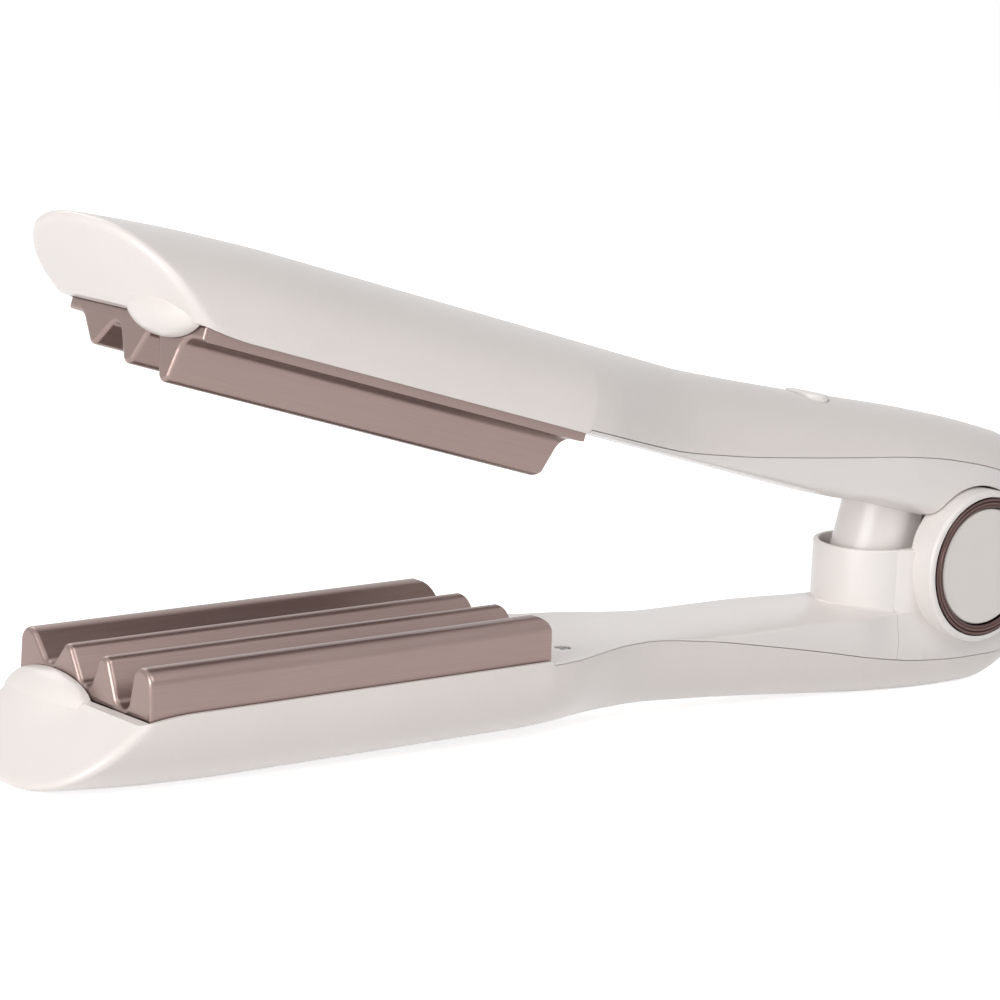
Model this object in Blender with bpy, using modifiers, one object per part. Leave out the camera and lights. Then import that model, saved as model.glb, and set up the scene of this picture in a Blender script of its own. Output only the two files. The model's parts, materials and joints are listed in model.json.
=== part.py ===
"""Hair crimper: two hinged arms with meshing wave plates, a sprung hinge with round hub
covers, a power button in a thumb scoop and a swivelling cord inlet at the tail.

All lengths are in metres.  Each arm is modelled in its own frame: the hinge axis is Y,
the tip is at -X, the closing plane between the plates is z = 0 and the outside of the
arm is at +Z.  Two empties on the hinge axis then set the arms into place, the lower one
resting on the floor (z = 0) and the upper one open.
"""
import math

import bmesh
import bpy
from mathutils import Matrix, Vector

# Opening of the jaws as they stand at rest
OPENING_ANGLE = math.radians(15.7)

# Wave plates
PLATE_LENGTH = 0.0900
PLATE_REACH = 0.1189            # hinge axis to the rear end of the plates
PLATE_WIDTH = 0.0422
PLATE_BASE = 0.0064             # closing plane to the back of a plate
RIDGE_HEIGHT = 0.0094           # tallest ridge of the lower plate over its base
RIDGE_RADIUS = 0.0017
EDGE_RIDGE_RADIUS = 0.0029
VALLEY_RADIUS = 0.0022
MESH_GAP = 0.0005               # between the plates when the jaws are shut
RAIL_HEIGHT = 0.0030            # rails behind the plate, which hold the heater
RAIL_WIDTH = 0.0014
RAIL_PLACE = 0.0098
PLATE_CORNER_RADIUS = 0.0030
UPPER_RIDGE_SETBACK = 0.0005    # upper ridges stop short of the flange at the rear
UPPER_RIDGE_SLOPE = 0.0011
UPPER_CORNER_RADIUS = 0.0021
FLANGE_EDGE_RISE = 0.0001
RIDGE_PLACE_SHARES = (-0.853, -0.290, 0.265, 0.853)      # of half the plate width
RIDGE_HEIGHT_SHARES = (1.0, 0.96, 0.94, 1.0)             # of the ridge height
VALLEY_PLACE_SHARES = (-0.569, -0.019, 0.531)            # of half the plate width
VALLEY_FLOOR_SHARES = (0.11, 0.27, 0.46)                 # of the ridge height

# Casings
CASE_HALF_WIDTH = 0.0222        # beside the plates
GRIP_HALF_WIDTH = 0.0132
HUB_HALF_WIDTH = 0.0140
TAIL_RADIUS = 0.0122
PLATE_CREST = 0.0220            # closing plane to the outside of an arm, at the plates
HINGE_CREST = 0.0281
NOSE_CREST = 0.0196
SHELL_WALL = 0.0018
RIM_HEIGHT = 0.0053             # closing plane to the casing's edge beside the plates
GRIP_UNDERSIDE = 0.0053
HUB_UNDERSIDE = 0.0067
SEAM_FRONT = 0.0062             # closing plane to the parting line behind the plates
SEAM_HUB = 0.0202
WIDEST_FRONT = 0.0057           # closing plane to the widest line of the grip
WIDEST_HUB = 0.0120
TAIL_LENGTH = 0.0300            # hinge axis to the end of the lower casing
UPPER_TAIL_LENGTH = 0.0150      # hinge axis to the end of the upper casing
UPPER_TAIL_ROUND = 0.0040
LIP_DEPTH = 0.0015
LIP_WALL = 0.0014
COVER_FLOOR = 0.0018
LIP_RISE = 0.0005
LIP_SLACK = 0.0006              # between a cover's lip and the casing round it
COVER_END_WALL = 0.0056
LEAST_STEP = 0.0002             # least height left between two lines of a section

# Nose
NOSE_LEAN = 1.19                # run of the cut face for each unit of its height
NOSE_EDGE_RADIUS = 0.0021
NOSE_RAMP = 0.0240              # length over which the sections lean over to the cut face
UPPER_NOSE_TWIST = 0.0034       # how far one side of the cut face runs ahead
LOWER_NOSE_TWIST = 0.0008
UPPER_NOSE_TUCK = 0.0030         # how far its lower corner is drawn in, and how high
NOSE_TUCK_HEIGHT = 0.0052
NOSE_RIM_DROP = 0.0010
NOSE_RIM_RUN = 0.0100
LOBE_HALF_WIDTH = 0.0120
LOBE_REACH = 0.0046
LOBE_HALF_HEIGHT = 0.0042
LOBE_OFFSET = 0.0088
LOBE_LIFT = 0.0004

# General clearances
GAP = 0.0003
OVERRUN = 0.0010                # how far a cutter passes the face it cuts

# Hinge and hub covers
CHEEK_RADIUS = 0.0158
FAR_CHEEK_RADIUS = 0.0125
NEAR_CHEEK_START = 0.0107       # inner faces of the cheeks, from the middle
FAR_CHEEK_START = 0.0105
NEAR_CHEEK_FACE = 0.0174
FAR_CHEEK_FACE = 0.0140
CHEEK_EDGE_RADIUS = 0.0009
HUB_POCKET_DEPTH = 0.0024
BEZEL_WIDTH = 0.00155           # cheek's round side to the ring's pocket
RING_WIDTH = 0.0019
RING_PROUD = 0.0002
DISC_SUNK = 0.0002
HINGE_PIN_RADIUS = 0.0025
BUSH_WALL = 0.0014
BUSH_LENGTH = 0.0060
BARREL_RADIUS = 0.0154
BARREL_SLACK = 0.0004
HUB_CUT_GAP = 0.0005
WEB_HALF_WIDTH = 0.0050
WEB_FRONT = 0.0050
WEB_REAR = 0.0095

HOUSING_REACH = 0.0195          # hinge axis to the parting line ahead of the housing
SHOULDER_SIDE = 0.0123          # upright wall from the cup to the near cheek, from the middle
SHOULDER_REAR = 0.0100          # hinge axis to its end inside the cheek

# Return spring between its cup and post
CUP_REACH = 0.0172              # hinge axis to the cup's middle
CUP_RADIUS = 0.0112
CUP_WALL = 0.0012
CUP_RISE = 0.0041               # rim past the closing plane
CUP_DEPTH = 0.0140
CUP_FLOOR = 0.0015
POST_REACH = 0.0165
POST_RADIUS = 0.0081
POST_WALL = 0.0012
POST_DROP = 0.0050              # foot past the closing plane
POST_FLANGE_REACH = 0.0007
POST_FLANGE = 0.0014
POST_LIFT = 0.0010              # flange over the cover's floor, which rises at its sides
SPRING_RADIUS = 0.0038
SPRING_WIRE_RADIUS = 0.0004
SPRING_TURNS = 7
SPRING_STEPS = 10

# Heaters and what holds them
HEATER_HALF_WIDTH = 0.0078
HEATER_THICKNESS = 0.0020
HEATER_INSET = 0.0085           # plate end to heater end
CLAMP_HALF_WIDTH = 0.0060
CLAMP_THICKNESS = 0.0005
CLAMP_WAVES = 4
CLAMP_STEPS = 10
CARRIER_WALL = 0.0016
CARRIER_DEPTH = 0.0052
CARRIER_HALF_WIDTH = 0.0118
CARRIER_FLANGE_REACH = 0.0192
CARRIER_INSET = 0.0046
SENSOR_LENGTH = 0.0050
SENSOR_HALF_WIDTH = 0.0025
SENSOR_HEIGHT = 0.0022
LEAD_RADIUS = 0.0009

# Screws
SCREW_SETBACK = 0.0104          # rear end of the plates to the screws
SCREW_SPREAD = 0.0120
SCREW_HEAD_RADIUS = 0.0015
SCREW_HEAD_HEIGHT = 0.0012
SCREW_SHANK_RADIUS = 0.0009
SCREW_LENGTH = 0.0085
SCREW_SUNK = 0.0002
BOSS_RADIUS = 0.0024
BOSS_START = 0.0085

# Power button in its scoop, control board and switch
BUTTON_REACH = 0.0452
BUTTON_HALF_LENGTH = 0.0036
BUTTON_HALF_WIDTH = 0.0052
BUTTON_PROUD = 0.0003
BUTTON_TRAVEL = 0.0008
BUTTON_CROWN = 0.0006
BUTTON_FLANGE = 0.0010
BUTTON_FLANGE_REACH = 0.0008
SCOOP_HALF_LENGTH = 0.0056
SCOOP_HALF_WIDTH = 0.0092
SCOOP_DEPTH = 0.0019
SCOOP_SETBACK = 0.0016          # scoop's middle, ahead of the button's
COLLAR_DEPTH = 0.0016
COLLAR_REACH = 0.0016
BOARD_FRONT = 0.0720
BOARD_REAR = 0.0330
BOARD_HALF_WIDTH = 0.0080
BOARD_THICKNESS = 0.0012
BOARD_HEIGHT = 0.0122
STANDOFF_RADIUS = 0.0016
STANDOFF_INSET = 0.0030
SWITCH_HALF_SIZE = 0.0030
SWITCH_HEIGHT = 0.0032
TERMINAL_REACH = 0.0560
TERMINAL_HALF_LENGTH = 0.0080
TERMINAL_HALF_WIDTH = 0.0060
TERMINAL_HEIGHT = 0.0070

# Cord swivel
SWIVEL_BARREL_RADIUS = 0.0096
SWIVEL_BARREL_START = 0.0212    # hinge axis to the barrel's inner end
SWIVEL_FLANGE = 0.0020
SWIVEL_BORE_RADIUS = 0.0066
SWIVEL_THROAT_RADIUS = 0.0055
SWIVEL_THROAT_LENGTH = 0.0030
SWIVEL_NECK_LENGTH = 0.0080
CORD_BORE_RADIUS = 0.0036
RETAINER_THICKNESS = 0.0012
LEAD_HOLE_RADIUS = 0.0030

# Flats that the lower arm rests on
BELLY_REACH = 0.1900
REST_REACH = 0.0080             # behind the hinge axis
FLAT_DEPTH = 0.00035

# Shapes along the grip, as shares of its length and of the change in size
CREST_RISE_SHARES = ((0.0, 0.0), (0.28, 0.0), (0.42, 0.15), (0.55, 0.35), (0.70, 0.62),
                     (0.85, 0.87), (1.0, 1.0))
NARROWING_SHARES = ((0.0, 0.0), (0.06, 0.13), (0.13, 0.46), (0.20, 0.76), (0.30, 0.95),
                    (0.42, 1.0))
SEAM_RISE_SHARES = ((0.0, 0.0), (0.24, 0.03), (0.38, 0.16), (0.53, 0.38), (0.67, 0.61),
                    (0.80, 0.83), (0.90, 0.95), (1.0, 1.0))
TAIL_CREST_SHARES = ((0.0, 0.0), (0.27, 0.0), (0.50, 0.10), (0.70, 0.38), (0.87, 0.76), (1.0, 1.0))
TAIL_SEAM_SHARES = ((0.0, 0.0), (0.33, 0.0), (0.60, 0.22), (0.80, 0.60), (1.0, 1.0))
TAIL_RING_SHARES = (1.0, 0.87, 0.75, 0.67, 0.61, 0.56, 0.50, 0.40, 0.27, 0.13)
GRIP_RING_SHARES = (0.0, 0.08, 0.16, 0.25, 0.34, 0.43, 0.52, 0.62, 0.70, 0.77, 0.83, 0.88,
                    0.93, 0.97)
PLATE_RING_SHARES = (0.06, 0.35, 0.70, 1.0)
NOSE_CREST_SHARES = ((0.0, 0.0), (0.30, 0.45), (0.60, 0.80), (1.0, 1.0))
TAIL_WIDTH_SHARES = ((0.40, 0.0), (0.70, 0.50), (1.0, 1.0))
WIDEST_SHARES = ((0.0, 0.0), (0.24, 0.05), (0.70, 0.60), (1.0, 1.0))
TAIL_WIDEST_SHARES = ((0.35, 0.06), (0.65, 0.55), (1.0, 1.0))
UNDERSIDE_SHARES = ((0.0, 0.0), (0.15, 0.25), (0.35, 0.90), (1.0, 1.0))
COVER_RING_SHARES = (0.0, 0.05, 0.11, 0.17, 0.24, 0.32, 0.42, 0.53, 0.64, 0.75, 0.86)
HOUSING_FRONT_SHARES = (0.70, 0.35, 0.0)
TAIL_TOP_SHARES = ((0.0, 0.0), (0.50, 0.0), (0.56, 0.28), (0.60, 0.55), (0.66, 0.80), (0.74, 0.93),
                   (0.85, 0.98), (1.0, 1.0))

# How square the sections are: 2 is an ellipse
CASE_POWER = 2.45
GRIP_POWER = 2.2
ROUND_POWER = 2.0
UNDERSIDE_POWER = 4.0
NOSE_TWIST_POWER = 1.5
POWER_SHARES = ((0.0, 0.0), (0.30, 1.0), (1.0, 1.0))
POWER_END_SHARES = ((0.0, 0.0), (1.0, 1.0))
TAIL_POWER_SHARES = ((0.0, 0.0), (0.50, 0.0), (1.0, 1.0))

# Smoothness
SECTION_STEPS = 16
OUTLINE_STEPS = 10
ROUND_STEPS = 32
SPHERE_STEPS = 10
SMALL_ROUND_STEPS = 12
ARC_STEPS = 6
EDGE_STEPS = 3
LEAD_STEPS = 14
LEAD_STEP_POWER = 1.5           # closer steps near the heater, where the lead bends
SHARP_ANGLE = math.radians(32)
WELD = 0.000001
GAP_DIGITS = 5

X_PLATE_REAR = -PLATE_REACH
X_PLATE_FRONT = -PLATE_REACH - PLATE_LENGTH
X_SCREW = X_PLATE_REAR + SCREW_SETBACK
X_FACE = X_PLATE_FRONT - GAP
X_CREST_TIP = X_FACE - NOSE_LEAN * (NOSE_CREST - RIM_HEIGHT)


def clear_scene():
    for thing in list(bpy.data.objects):
        bpy.data.objects.remove(thing, do_unlink=True)


clear_scene()
crimper = bpy.data.collections.new("hair_crimper")
cutters = bpy.data.collections.new("cutters")
bpy.context.scene.collection.children.link(crimper)
bpy.context.scene.collection.children.link(cutters)


def material(name, colour, roughness, metallic=0.0):
    made = bpy.data.materials.new(name)
    made.use_nodes = True
    shader = made.node_tree.nodes["Principled BSDF"]
    shader.inputs["Base Color"].default_value = (*colour, 1.0)
    shader.inputs["Roughness"].default_value = roughness
    shader.inputs["Metallic"].default_value = metallic
    return made


PEARL = material("pearl_plastic", (0.75, 0.70, 0.67), 0.35)
WHITE = material("white_plastic", (0.82, 0.79, 0.77), 0.30)
BRONZE = material("bronze_plate", (0.36, 0.25, 0.23), 0.35, 0.9)
DARK_BRONZE = material("dark_bronze", (0.10, 0.07, 0.06), 0.30, 0.9)
PALE_GREY = material("pale_grey_plastic", (0.66, 0.63, 0.61), 0.35)
BLACK = material("black_plastic", (0.03, 0.03, 0.03), 0.50)
STEEL = material("steel", (0.60, 0.60, 0.60), 0.30, 1.0)
CERAMIC = material("ceramic_heater", (0.85, 0.82, 0.76), 0.60)
BOARD = material("board", (0.05, 0.20, 0.10), 0.45)
COPPER = material("lead_insulation", (0.55, 0.08, 0.06), 0.45)


# Curves along the arm

def monotone(keys, x):
    """Smooth curve through the keys (place, value) that never overshoots them."""
    if x <= keys[0][0]:
        return keys[0][1]
    if x >= keys[-1][0]:
        return keys[-1][1]
    runs = [b[0] - a[0] for a, b in zip(keys, keys[1:])]
    slopes = [(b[1] - a[1]) / run for a, b, run in zip(keys, keys[1:], runs)]
    tangents = [slopes[0]]
    for before, after in zip(slopes, slopes[1:]):
        flat = before * after <= 0.0
        tangents.append(0.0 if flat else 2.0 * before * after / (before + after))
    tangents.append(slopes[-1])
    for i, run in enumerate(runs):
        if x <= keys[i + 1][0]:
            t = (x - keys[i][0]) / run
            a = 2 * t ** 3 - 3 * t ** 2 + 1
            b = t ** 3 - 2 * t ** 2 + t
            c = 3 * t ** 2 - 2 * t ** 3
            d = t ** 3 - t ** 2
            return (a * keys[i][1] + b * run * tangents[i]
                    + c * keys[i + 1][1] + d * run * tangents[i + 1])
    return keys[-1][1]


def keys_between(start, end, first, last, shares):
    return [(start + (end - start) * a, first + (last - first) * b) for a, b in shares]


CREST_KEYS = (keys_between(X_CREST_TIP, X_PLATE_FRONT + NOSE_RAMP, NOSE_CREST, PLATE_CREST,
                           NOSE_CREST_SHARES)
              + keys_between(X_PLATE_REAR, 0.0, PLATE_CREST, HINGE_CREST, CREST_RISE_SHARES)
              + keys_between(0.0, TAIL_LENGTH, HINGE_CREST, TAIL_RADIUS, TAIL_CREST_SHARES)[1:])
WIDTH_KEYS = (keys_between(X_PLATE_REAR, 0.0, CASE_HALF_WIDTH, GRIP_HALF_WIDTH, NARROWING_SHARES)
              + [(-BUTTON_REACH, GRIP_HALF_WIDTH), (-CUP_REACH, HUB_HALF_WIDTH), (0.0, HUB_HALF_WIDTH)]
              + keys_between(0.0, TAIL_LENGTH, HUB_HALF_WIDTH, TAIL_RADIUS, TAIL_WIDTH_SHARES))
SEAM_KEYS = (keys_between(X_PLATE_REAR, 0.0, SEAM_FRONT, SEAM_HUB, SEAM_RISE_SHARES)
             + keys_between(0.0, TAIL_LENGTH, SEAM_HUB, 0.0, TAIL_SEAM_SHARES)[1:])
WIDEST_KEYS = (keys_between(X_PLATE_REAR, 0.0, WIDEST_FRONT, WIDEST_HUB, WIDEST_SHARES)
               + keys_between(0.0, TAIL_LENGTH, WIDEST_HUB, 0.0, TAIL_WIDEST_SHARES))
UNDERSIDE_KEYS = (keys_between(-BUTTON_REACH, 0.0, GRIP_UNDERSIDE, HUB_UNDERSIDE, UNDERSIDE_SHARES)
                  + keys_between(0.0, TAIL_LENGTH, HUB_UNDERSIDE, -TAIL_RADIUS, TAIL_TOP_SHARES)[1:])
POWER_KEYS = (keys_between(X_PLATE_REAR, 0.0, CASE_POWER, GRIP_POWER, POWER_SHARES)
              + keys_between(0.0, TAIL_LENGTH, GRIP_POWER, ROUND_POWER, POWER_END_SHARES)[1:])
UNDERSIDE_POWER_KEYS = keys_between(0.0, TAIL_LENGTH, UNDERSIDE_POWER, ROUND_POWER, TAIL_POWER_SHARES)


def widest(x):
    return RIM_HEIGHT if x < X_PLATE_REAR else monotone(WIDEST_KEYS, x)


def rim(x):
    """Edge of the outer casing: a lip beside the plates, the parting line behind them."""
    if x >= X_PLATE_REAR:
        return monotone(SEAM_KEYS, x)
    run = max(0.0, X_PLATE_FRONT + NOSE_RIM_RUN - x) / NOSE_RIM_RUN
    return RIM_HEIGHT + NOSE_RIM_DROP * min(1.0, run) ** 2


def tail_inset(x, tail):
    """Rounding of a plain tail end, drawn in like a quarter circle."""
    past = x - (tail - UPPER_TAIL_ROUND)
    if tail >= TAIL_LENGTH or past <= 0.0:
        return 0.0
    return UPPER_TAIL_ROUND - math.sqrt(max(0.0, UPPER_TAIL_ROUND ** 2 - past ** 2))


def side_width(x, z, inset=0.0):
    """Half width of the arm at height z, above its widest line."""
    base = widest(x)
    top = monotone(CREST_KEYS, x) - inset
    share = min(max((z - base) / (top - base), 0.0), 1.0)
    power = monotone(POWER_KEYS, x)
    return (monotone(WIDTH_KEYS, x) - inset) * (1 - share ** power) ** (1 / power)


def inner_height(x, y):
    """Height of an outer casing's inner face over the place x, y."""
    base = widest(x)
    rise = monotone(CREST_KEYS, x) - SHELL_WALL - base
    power = monotone(POWER_KEYS, x)
    return base + rise * (1 - (y / (monotone(WIDTH_KEYS, x) - SHELL_WALL)) ** power) ** (1 / power)


def signed_power(value, power):
    return math.copysign(abs(value) ** power, value)


def crown_points(x, crest_x, edge, inset):
    """Arc of a casing section from one edge over the crest to the other, as (y, z)."""
    base = widest(x)
    half = monotone(WIDTH_KEYS, x) - inset
    rise = monotone(CREST_KEYS, crest_x) - inset - base
    power = monotone(POWER_KEYS, x)
    low = math.asin(min(1.0, max(0.0, (edge - base) / rise)) ** (power / 2))
    points = []
    for step in range(SECTION_STEPS + 1):
        angle = low + (math.pi - 2 * low) * step / SECTION_STEPS
        points.append((-half * signed_power(math.cos(angle), 2 / power),
                       base + rise * math.sin(angle) ** (2 / power)))
    return points


def bowl_points(x, top, inset, floor):
    """Closed outline of an arm's inner side, from height top round the underside, as (y, z)."""
    underside = monotone(UNDERSIDE_KEYS, x) + floor
    base = min(max(widest(x), underside + LEAST_STEP), top - LEAST_STEP)
    half = side_width(x, base, inset)
    depth = base - underside
    power = monotone(UNDERSIDE_POWER_KEYS, x)
    middle = (top + base) / 2
    left = [(-side_width(x, z, inset), z) for z in (top, middle)]
    points = list(left)
    for step in range(OUTLINE_STEPS + 1):
        angle = math.pi * step / OUTLINE_STEPS
        points.append((-half * signed_power(math.cos(angle), 2 / power),
                       base - depth * math.sin(angle) ** (2 / power)))
    return points + [(-y, z) for y, z in reversed(left)]


# Objects

def place(thing, parent, look, collection=None):
    (collection or crimper).objects.link(thing)
    thing.parent = parent
    if look:
        thing.data.materials.append(look)
    return thing


def hide_cutter(thing):
    thing.hide_render = True
    thing.display_type = "WIRE"
    return thing


def finish_mesh(name, mesh_data, parent, look):
    """New object from a bmesh: a part with a material, or a cutter without one."""
    mesh = bpy.data.meshes.new(name)
    bmesh.ops.recalc_face_normals(mesh_data, faces=mesh_data.faces)
    mesh_data.to_mesh(mesh)
    mesh_data.free()
    mesh.shade_smooth()
    mesh.set_sharp_from_angle(angle=SHARP_ANGLE)
    thing = bpy.data.objects.new(name, mesh)
    if look:
        return place(thing, parent, look)
    return hide_cutter(place(thing, parent, None, cutters))


def box(name, parent, low, high, look=None):
    size = [b - a for a, b in zip(low, high)]
    middle = [(a + b) / 2 for a, b in zip(low, high)]
    made = bmesh.new()
    fit = Matrix.Translation(middle) @ Matrix.Diagonal((*size, 1.0))
    bmesh.ops.create_cube(made, size=1.0, matrix=fit)
    return finish_mesh(name, made, parent, look)


TURNS = {"X": Matrix.Rotation(math.radians(90), 4, "Y"),
         "Y": Matrix.Rotation(math.radians(-90), 4, "X"),
         "Z": Matrix.Identity(4)}


def rod(name, parent, axis, start, end, radius, centre=(0.0, 0.0), look=None, steps=ROUND_STEPS):
    """Round bar along an axis; centre is its place on the two other axes, in order."""
    middle = (start + end) / 2
    at = {"X": (middle, *centre), "Y": (centre[0], middle, centre[1]), "Z": (*centre, middle)}[axis]
    made = bmesh.new()
    bmesh.ops.create_cone(made, cap_ends=True, segments=steps, radius1=radius, radius2=radius,
                          depth=end - start, matrix=Matrix.Translation(at) @ TURNS[axis])
    return finish_mesh(name, made, parent, look)


def turned(name, parent, axis, profile, centre=(0.0, 0.0), look=None, steps=ROUND_STEPS):
    """Turned piece: profile is an outline of (radius, place along the axis)."""
    around = list(zip(profile, profile[1:] + profile[:1]))
    if sum(a[0] * b[1] - b[0] * a[1] for a, b in around) > 0:
        profile = profile[::-1]
    edges = [(i, i + 1) for i in range(len(profile) - 1)]
    if min(radius for radius, _ in profile) > 0.0:
        edges.append((len(profile) - 1, 0))
    mesh = bpy.data.meshes.new(name)
    mesh.from_pydata([(radius, 0.0, along) for radius, along in profile], edges, [])
    thing = bpy.data.objects.new(name, mesh)
    screw = thing.modifiers.new("Turn", "SCREW")
    screw.axis = "Z"
    screw.steps = steps
    screw.render_steps = steps
    screw.use_merge_vertices = True
    screw.merge_threshold = WELD
    at = {"X": (0.0, *centre), "Y": (centre[0], 0.0, centre[1]), "Z": (*centre, 0.0)}[axis]
    thing.matrix_local = Matrix.Translation(at) @ TURNS[axis]
    if look:
        return place(thing, parent, look)
    return hide_cutter(place(thing, parent, None, cutters))


def mesh_from_curve(name, curve):
    """Welded bmesh of a curve with its thickness and end caps."""
    drawn = bpy.data.objects.new(name + "_curve", curve)
    cutters.objects.link(drawn)
    bpy.context.view_layer.update()
    ready = drawn.evaluated_get(bpy.context.evaluated_depsgraph_get())
    made = bmesh.new()
    made.from_mesh(bpy.data.meshes.new_from_object(ready))
    bmesh.ops.remove_doubles(made, verts=made.verts, dist=WELD)
    bpy.data.objects.remove(drawn, do_unlink=True)
    return made


def ring_profile(inner, outer, start, end):
    return [(outer, end), (outer, start), (inner, start), (inner, end)]


def prism(name, parent, axis, outline, start, end, look=None):
    """Flat outline drawn out along X (outline in y, z) or Y (outline in x, z)."""
    curve = bpy.data.curves.new(name, "CURVE")
    curve.dimensions = "2D"
    curve.fill_mode = "BOTH"
    curve.extrude = (end - start) / 2
    spline = curve.splines.new("POLY")
    spline.points.add(len(outline) - 1)
    for point, (across, up) in zip(spline.points, outline):
        point.co = (across, up, 0.0, 1.0)
    spline.use_cyclic_u = True
    if axis == "X":
        turn = (Matrix.Translation(((start + end) / 2, 0.0, 0.0))
                @ Matrix(((0, 0, 1, 0), (1, 0, 0, 0), (0, 1, 0, 0), (0, 0, 0, 1))))
    else:
        turn = (Matrix.Translation((0.0, (start + end) / 2, 0.0))
                @ Matrix(((1, 0, 0, 0), (0, 0, -1, 0), (0, 1, 0, 0), (0, 0, 0, 1))))
    made = mesh_from_curve(name, curve)
    bmesh.ops.transform(made, matrix=turn, verts=made.verts)
    return finish_mesh(name, made, parent, look)


def loft(name, parent, rings, look=None, closed=True, caps=(True, True)):
    """Skin over rings of points; an open ring may be capped by joining its two sides."""
    made = bmesh.new()
    rows = [[made.verts.new(point) for point in ring] for ring in rings]
    count = len(rows[0])
    for first, second in zip(rows, rows[1:]):
        for i in range(count if closed else count - 1):
            j = (i + 1) % count
            made.faces.new((first[i], first[j], second[j], second[i]))
    for row, wanted in ((rows[0], caps[0]), (rows[-1], caps[1])):
        if not wanted:
            continue
        for i in range(count // 2):
            j = count - 1 - i
            if j - i == 1:
                continue
            corners = [row[i], row[i + 1], row[j - 1], row[j]]
            if i + 1 == j - 1:
                corners.pop(2)
            made.faces.new(corners)
    return finish_mesh(name, made, parent, look)


def combine(target, operation, *tools):
    for tool in tools:
        step = target.modifiers.new(operation.title() + "_" + tool.name, "BOOLEAN")
        step.operation = operation
        step.solver = "EXACT"
        step.object = tool


def cut(target, *tools):
    combine(target, "DIFFERENCE", *tools)


def unite(target, *tools):
    combine(target, "UNION", *tools)


def wire(name, parent, points, radius, look, resolution=1):
    curve = bpy.data.curves.new(name, "CURVE")
    curve.dimensions = "3D"
    curve.bevel_depth = radius
    curve.bevel_resolution = resolution
    curve.use_fill_caps = True
    spline = curve.splines.new("POLY")
    spline.points.add(len(points) - 1)
    for point, place_at in zip(spline.points, points):
        point.co = (*place_at, 1.0)
    return finish_mesh(name, mesh_from_curve(name, curve), parent, look)


# Where the two arms stand

def crest(x):
    return monotone(CREST_KEYS, x)


rest_slope = (crest(REST_REACH) - crest(-BELLY_REACH)) / (REST_REACH + BELLY_REACH)
TILT = math.atan(rest_slope)
HINGE_HEIGHT = (crest(-BELLY_REACH) + rest_slope * BELLY_REACH) * math.cos(TILT) - FLAT_DEPTH


def frame(name, parent, location, rotation):
    empty = bpy.data.objects.new(name, None)
    empty.location = location
    empty.rotation_euler = rotation
    empty.parent = parent
    empty.empty_display_size = GRIP_HALF_WIDTH
    crimper.objects.link(empty)
    return empty


LOWER = frame("lower_arm_frame", None, (0.0, 0.0, HINGE_HEIGHT), (math.pi, -TILT, 0.0))
UPPER = frame("upper_arm_frame", None, (0.0, 0.0, HINGE_HEIGHT), (0.0, OPENING_ANGLE - TILT, 0.0))


# Casings

def between(places, start, end):
    """The places from start to end, with both ends added."""
    step = math.copysign(LEAST_STEP, end - start)
    inner = [x for x in places if (x - start - step) * step > 0 and (end - step - x) * step > 0]
    return [start] + inner + [end]


def casing_rings(tail, nose_corner, inset=0.0, drop=0.0):
    """Rings of an outer casing from its tail to its nose, cut face included.

    An inset gives the hollow inside; drop carries its open side past the casing's edge.
    """
    twist, tuck = nose_corner
    if tail < TAIL_LENGTH:
        end = [tail - UPPER_TAIL_ROUND * (1 - math.sin(math.pi / 2 * (EDGE_STEPS - i) / EDGE_STEPS))
               for i in range(EDGE_STEPS + 1)]
    else:
        end = [TAIL_LENGTH * share for share in TAIL_RING_SHARES]
    start = tail
    if inset > 0.0:
        start = tail - inset if tail < TAIL_LENGTH else tail + OVERRUN
    places = end + [X_PLATE_REAR * share for share in GRIP_RING_SHARES]
    places += [X_PLATE_REAR + GAP, X_PLATE_REAR - GAP]
    flank = X_FACE + NOSE_RAMP - X_PLATE_REAR
    places += [X_PLATE_REAR + flank * share for share in PLATE_RING_SHARES]
    rings = []
    for x in between(places, start, places[-1]):
        drawn_in = tail_inset(x, tail) + inset
        rings.append([(x, y, z) for y, z in closed_crown(x, x, drawn_in, drop)])
    slant = math.sqrt(1 + NOSE_LEAN ** 2)
    ramp = [(X_FACE + NOSE_RAMP * (1 - i / ARC_STEPS), 0.0) for i in range(ARC_STEPS)]
    quarter = [math.pi / 2 * i / EDGE_STEPS for i in range(EDGE_STEPS + 1)]
    edge = [(X_FACE + NOSE_EDGE_RADIUS * slant * (1 - math.sin(angle)),
             NOSE_EDGE_RADIUS * (1 - math.cos(angle))) for angle in quarter]
    nose = [item for item in ramp if item[0] > edge[0][0] + OVERRUN]
    nose += edge if inset == 0.0 else edge[:1]
    for x, rounding in nose:
        share = min(1.0, (X_FACE + NOSE_RAMP - x) / (NOSE_RAMP - NOSE_EDGE_RADIUS * slant))
        blend = share * share * (3 - 2 * share)
        lean = NOSE_LEAN * blend
        top_x = x - lean * (NOSE_CREST - RIM_HEIGHT)
        ring = []
        for y, z in closed_crown(x, top_x, rounding + inset, drop):
            ahead = twist * blend * max(0.0, (y / CASE_HALF_WIDTH + 1) / 2) ** NOSE_TWIST_POWER
            low = max(0.0, 1 - (z - rim(x)) / NOSE_TUCK_HEIGHT)
            past = min(1.0, max(0.0, X_FACE - x + ahead) / twist)
            ring.append((x - lean * (z - RIM_HEIGHT) - ahead, y - tuck * (past * low) ** 2, z))
        rings.append(ring)
    return rings


def closed_crown(x, crest_x, inset, drop):
    points = crown_points(x, crest_x, rim(x), inset)
    if drop > 0.0:
        points[0] = (points[0][0], rim(x) - drop)
        points[-1] = (points[-1][0], rim(x) - drop)
    return points


def sides(prefix):
    """Near and far side of an arm in its own frame; the lower arm is turned over."""
    near = 1 if prefix == "lower" else -1
    return (("near", near), ("far", -near))


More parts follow.
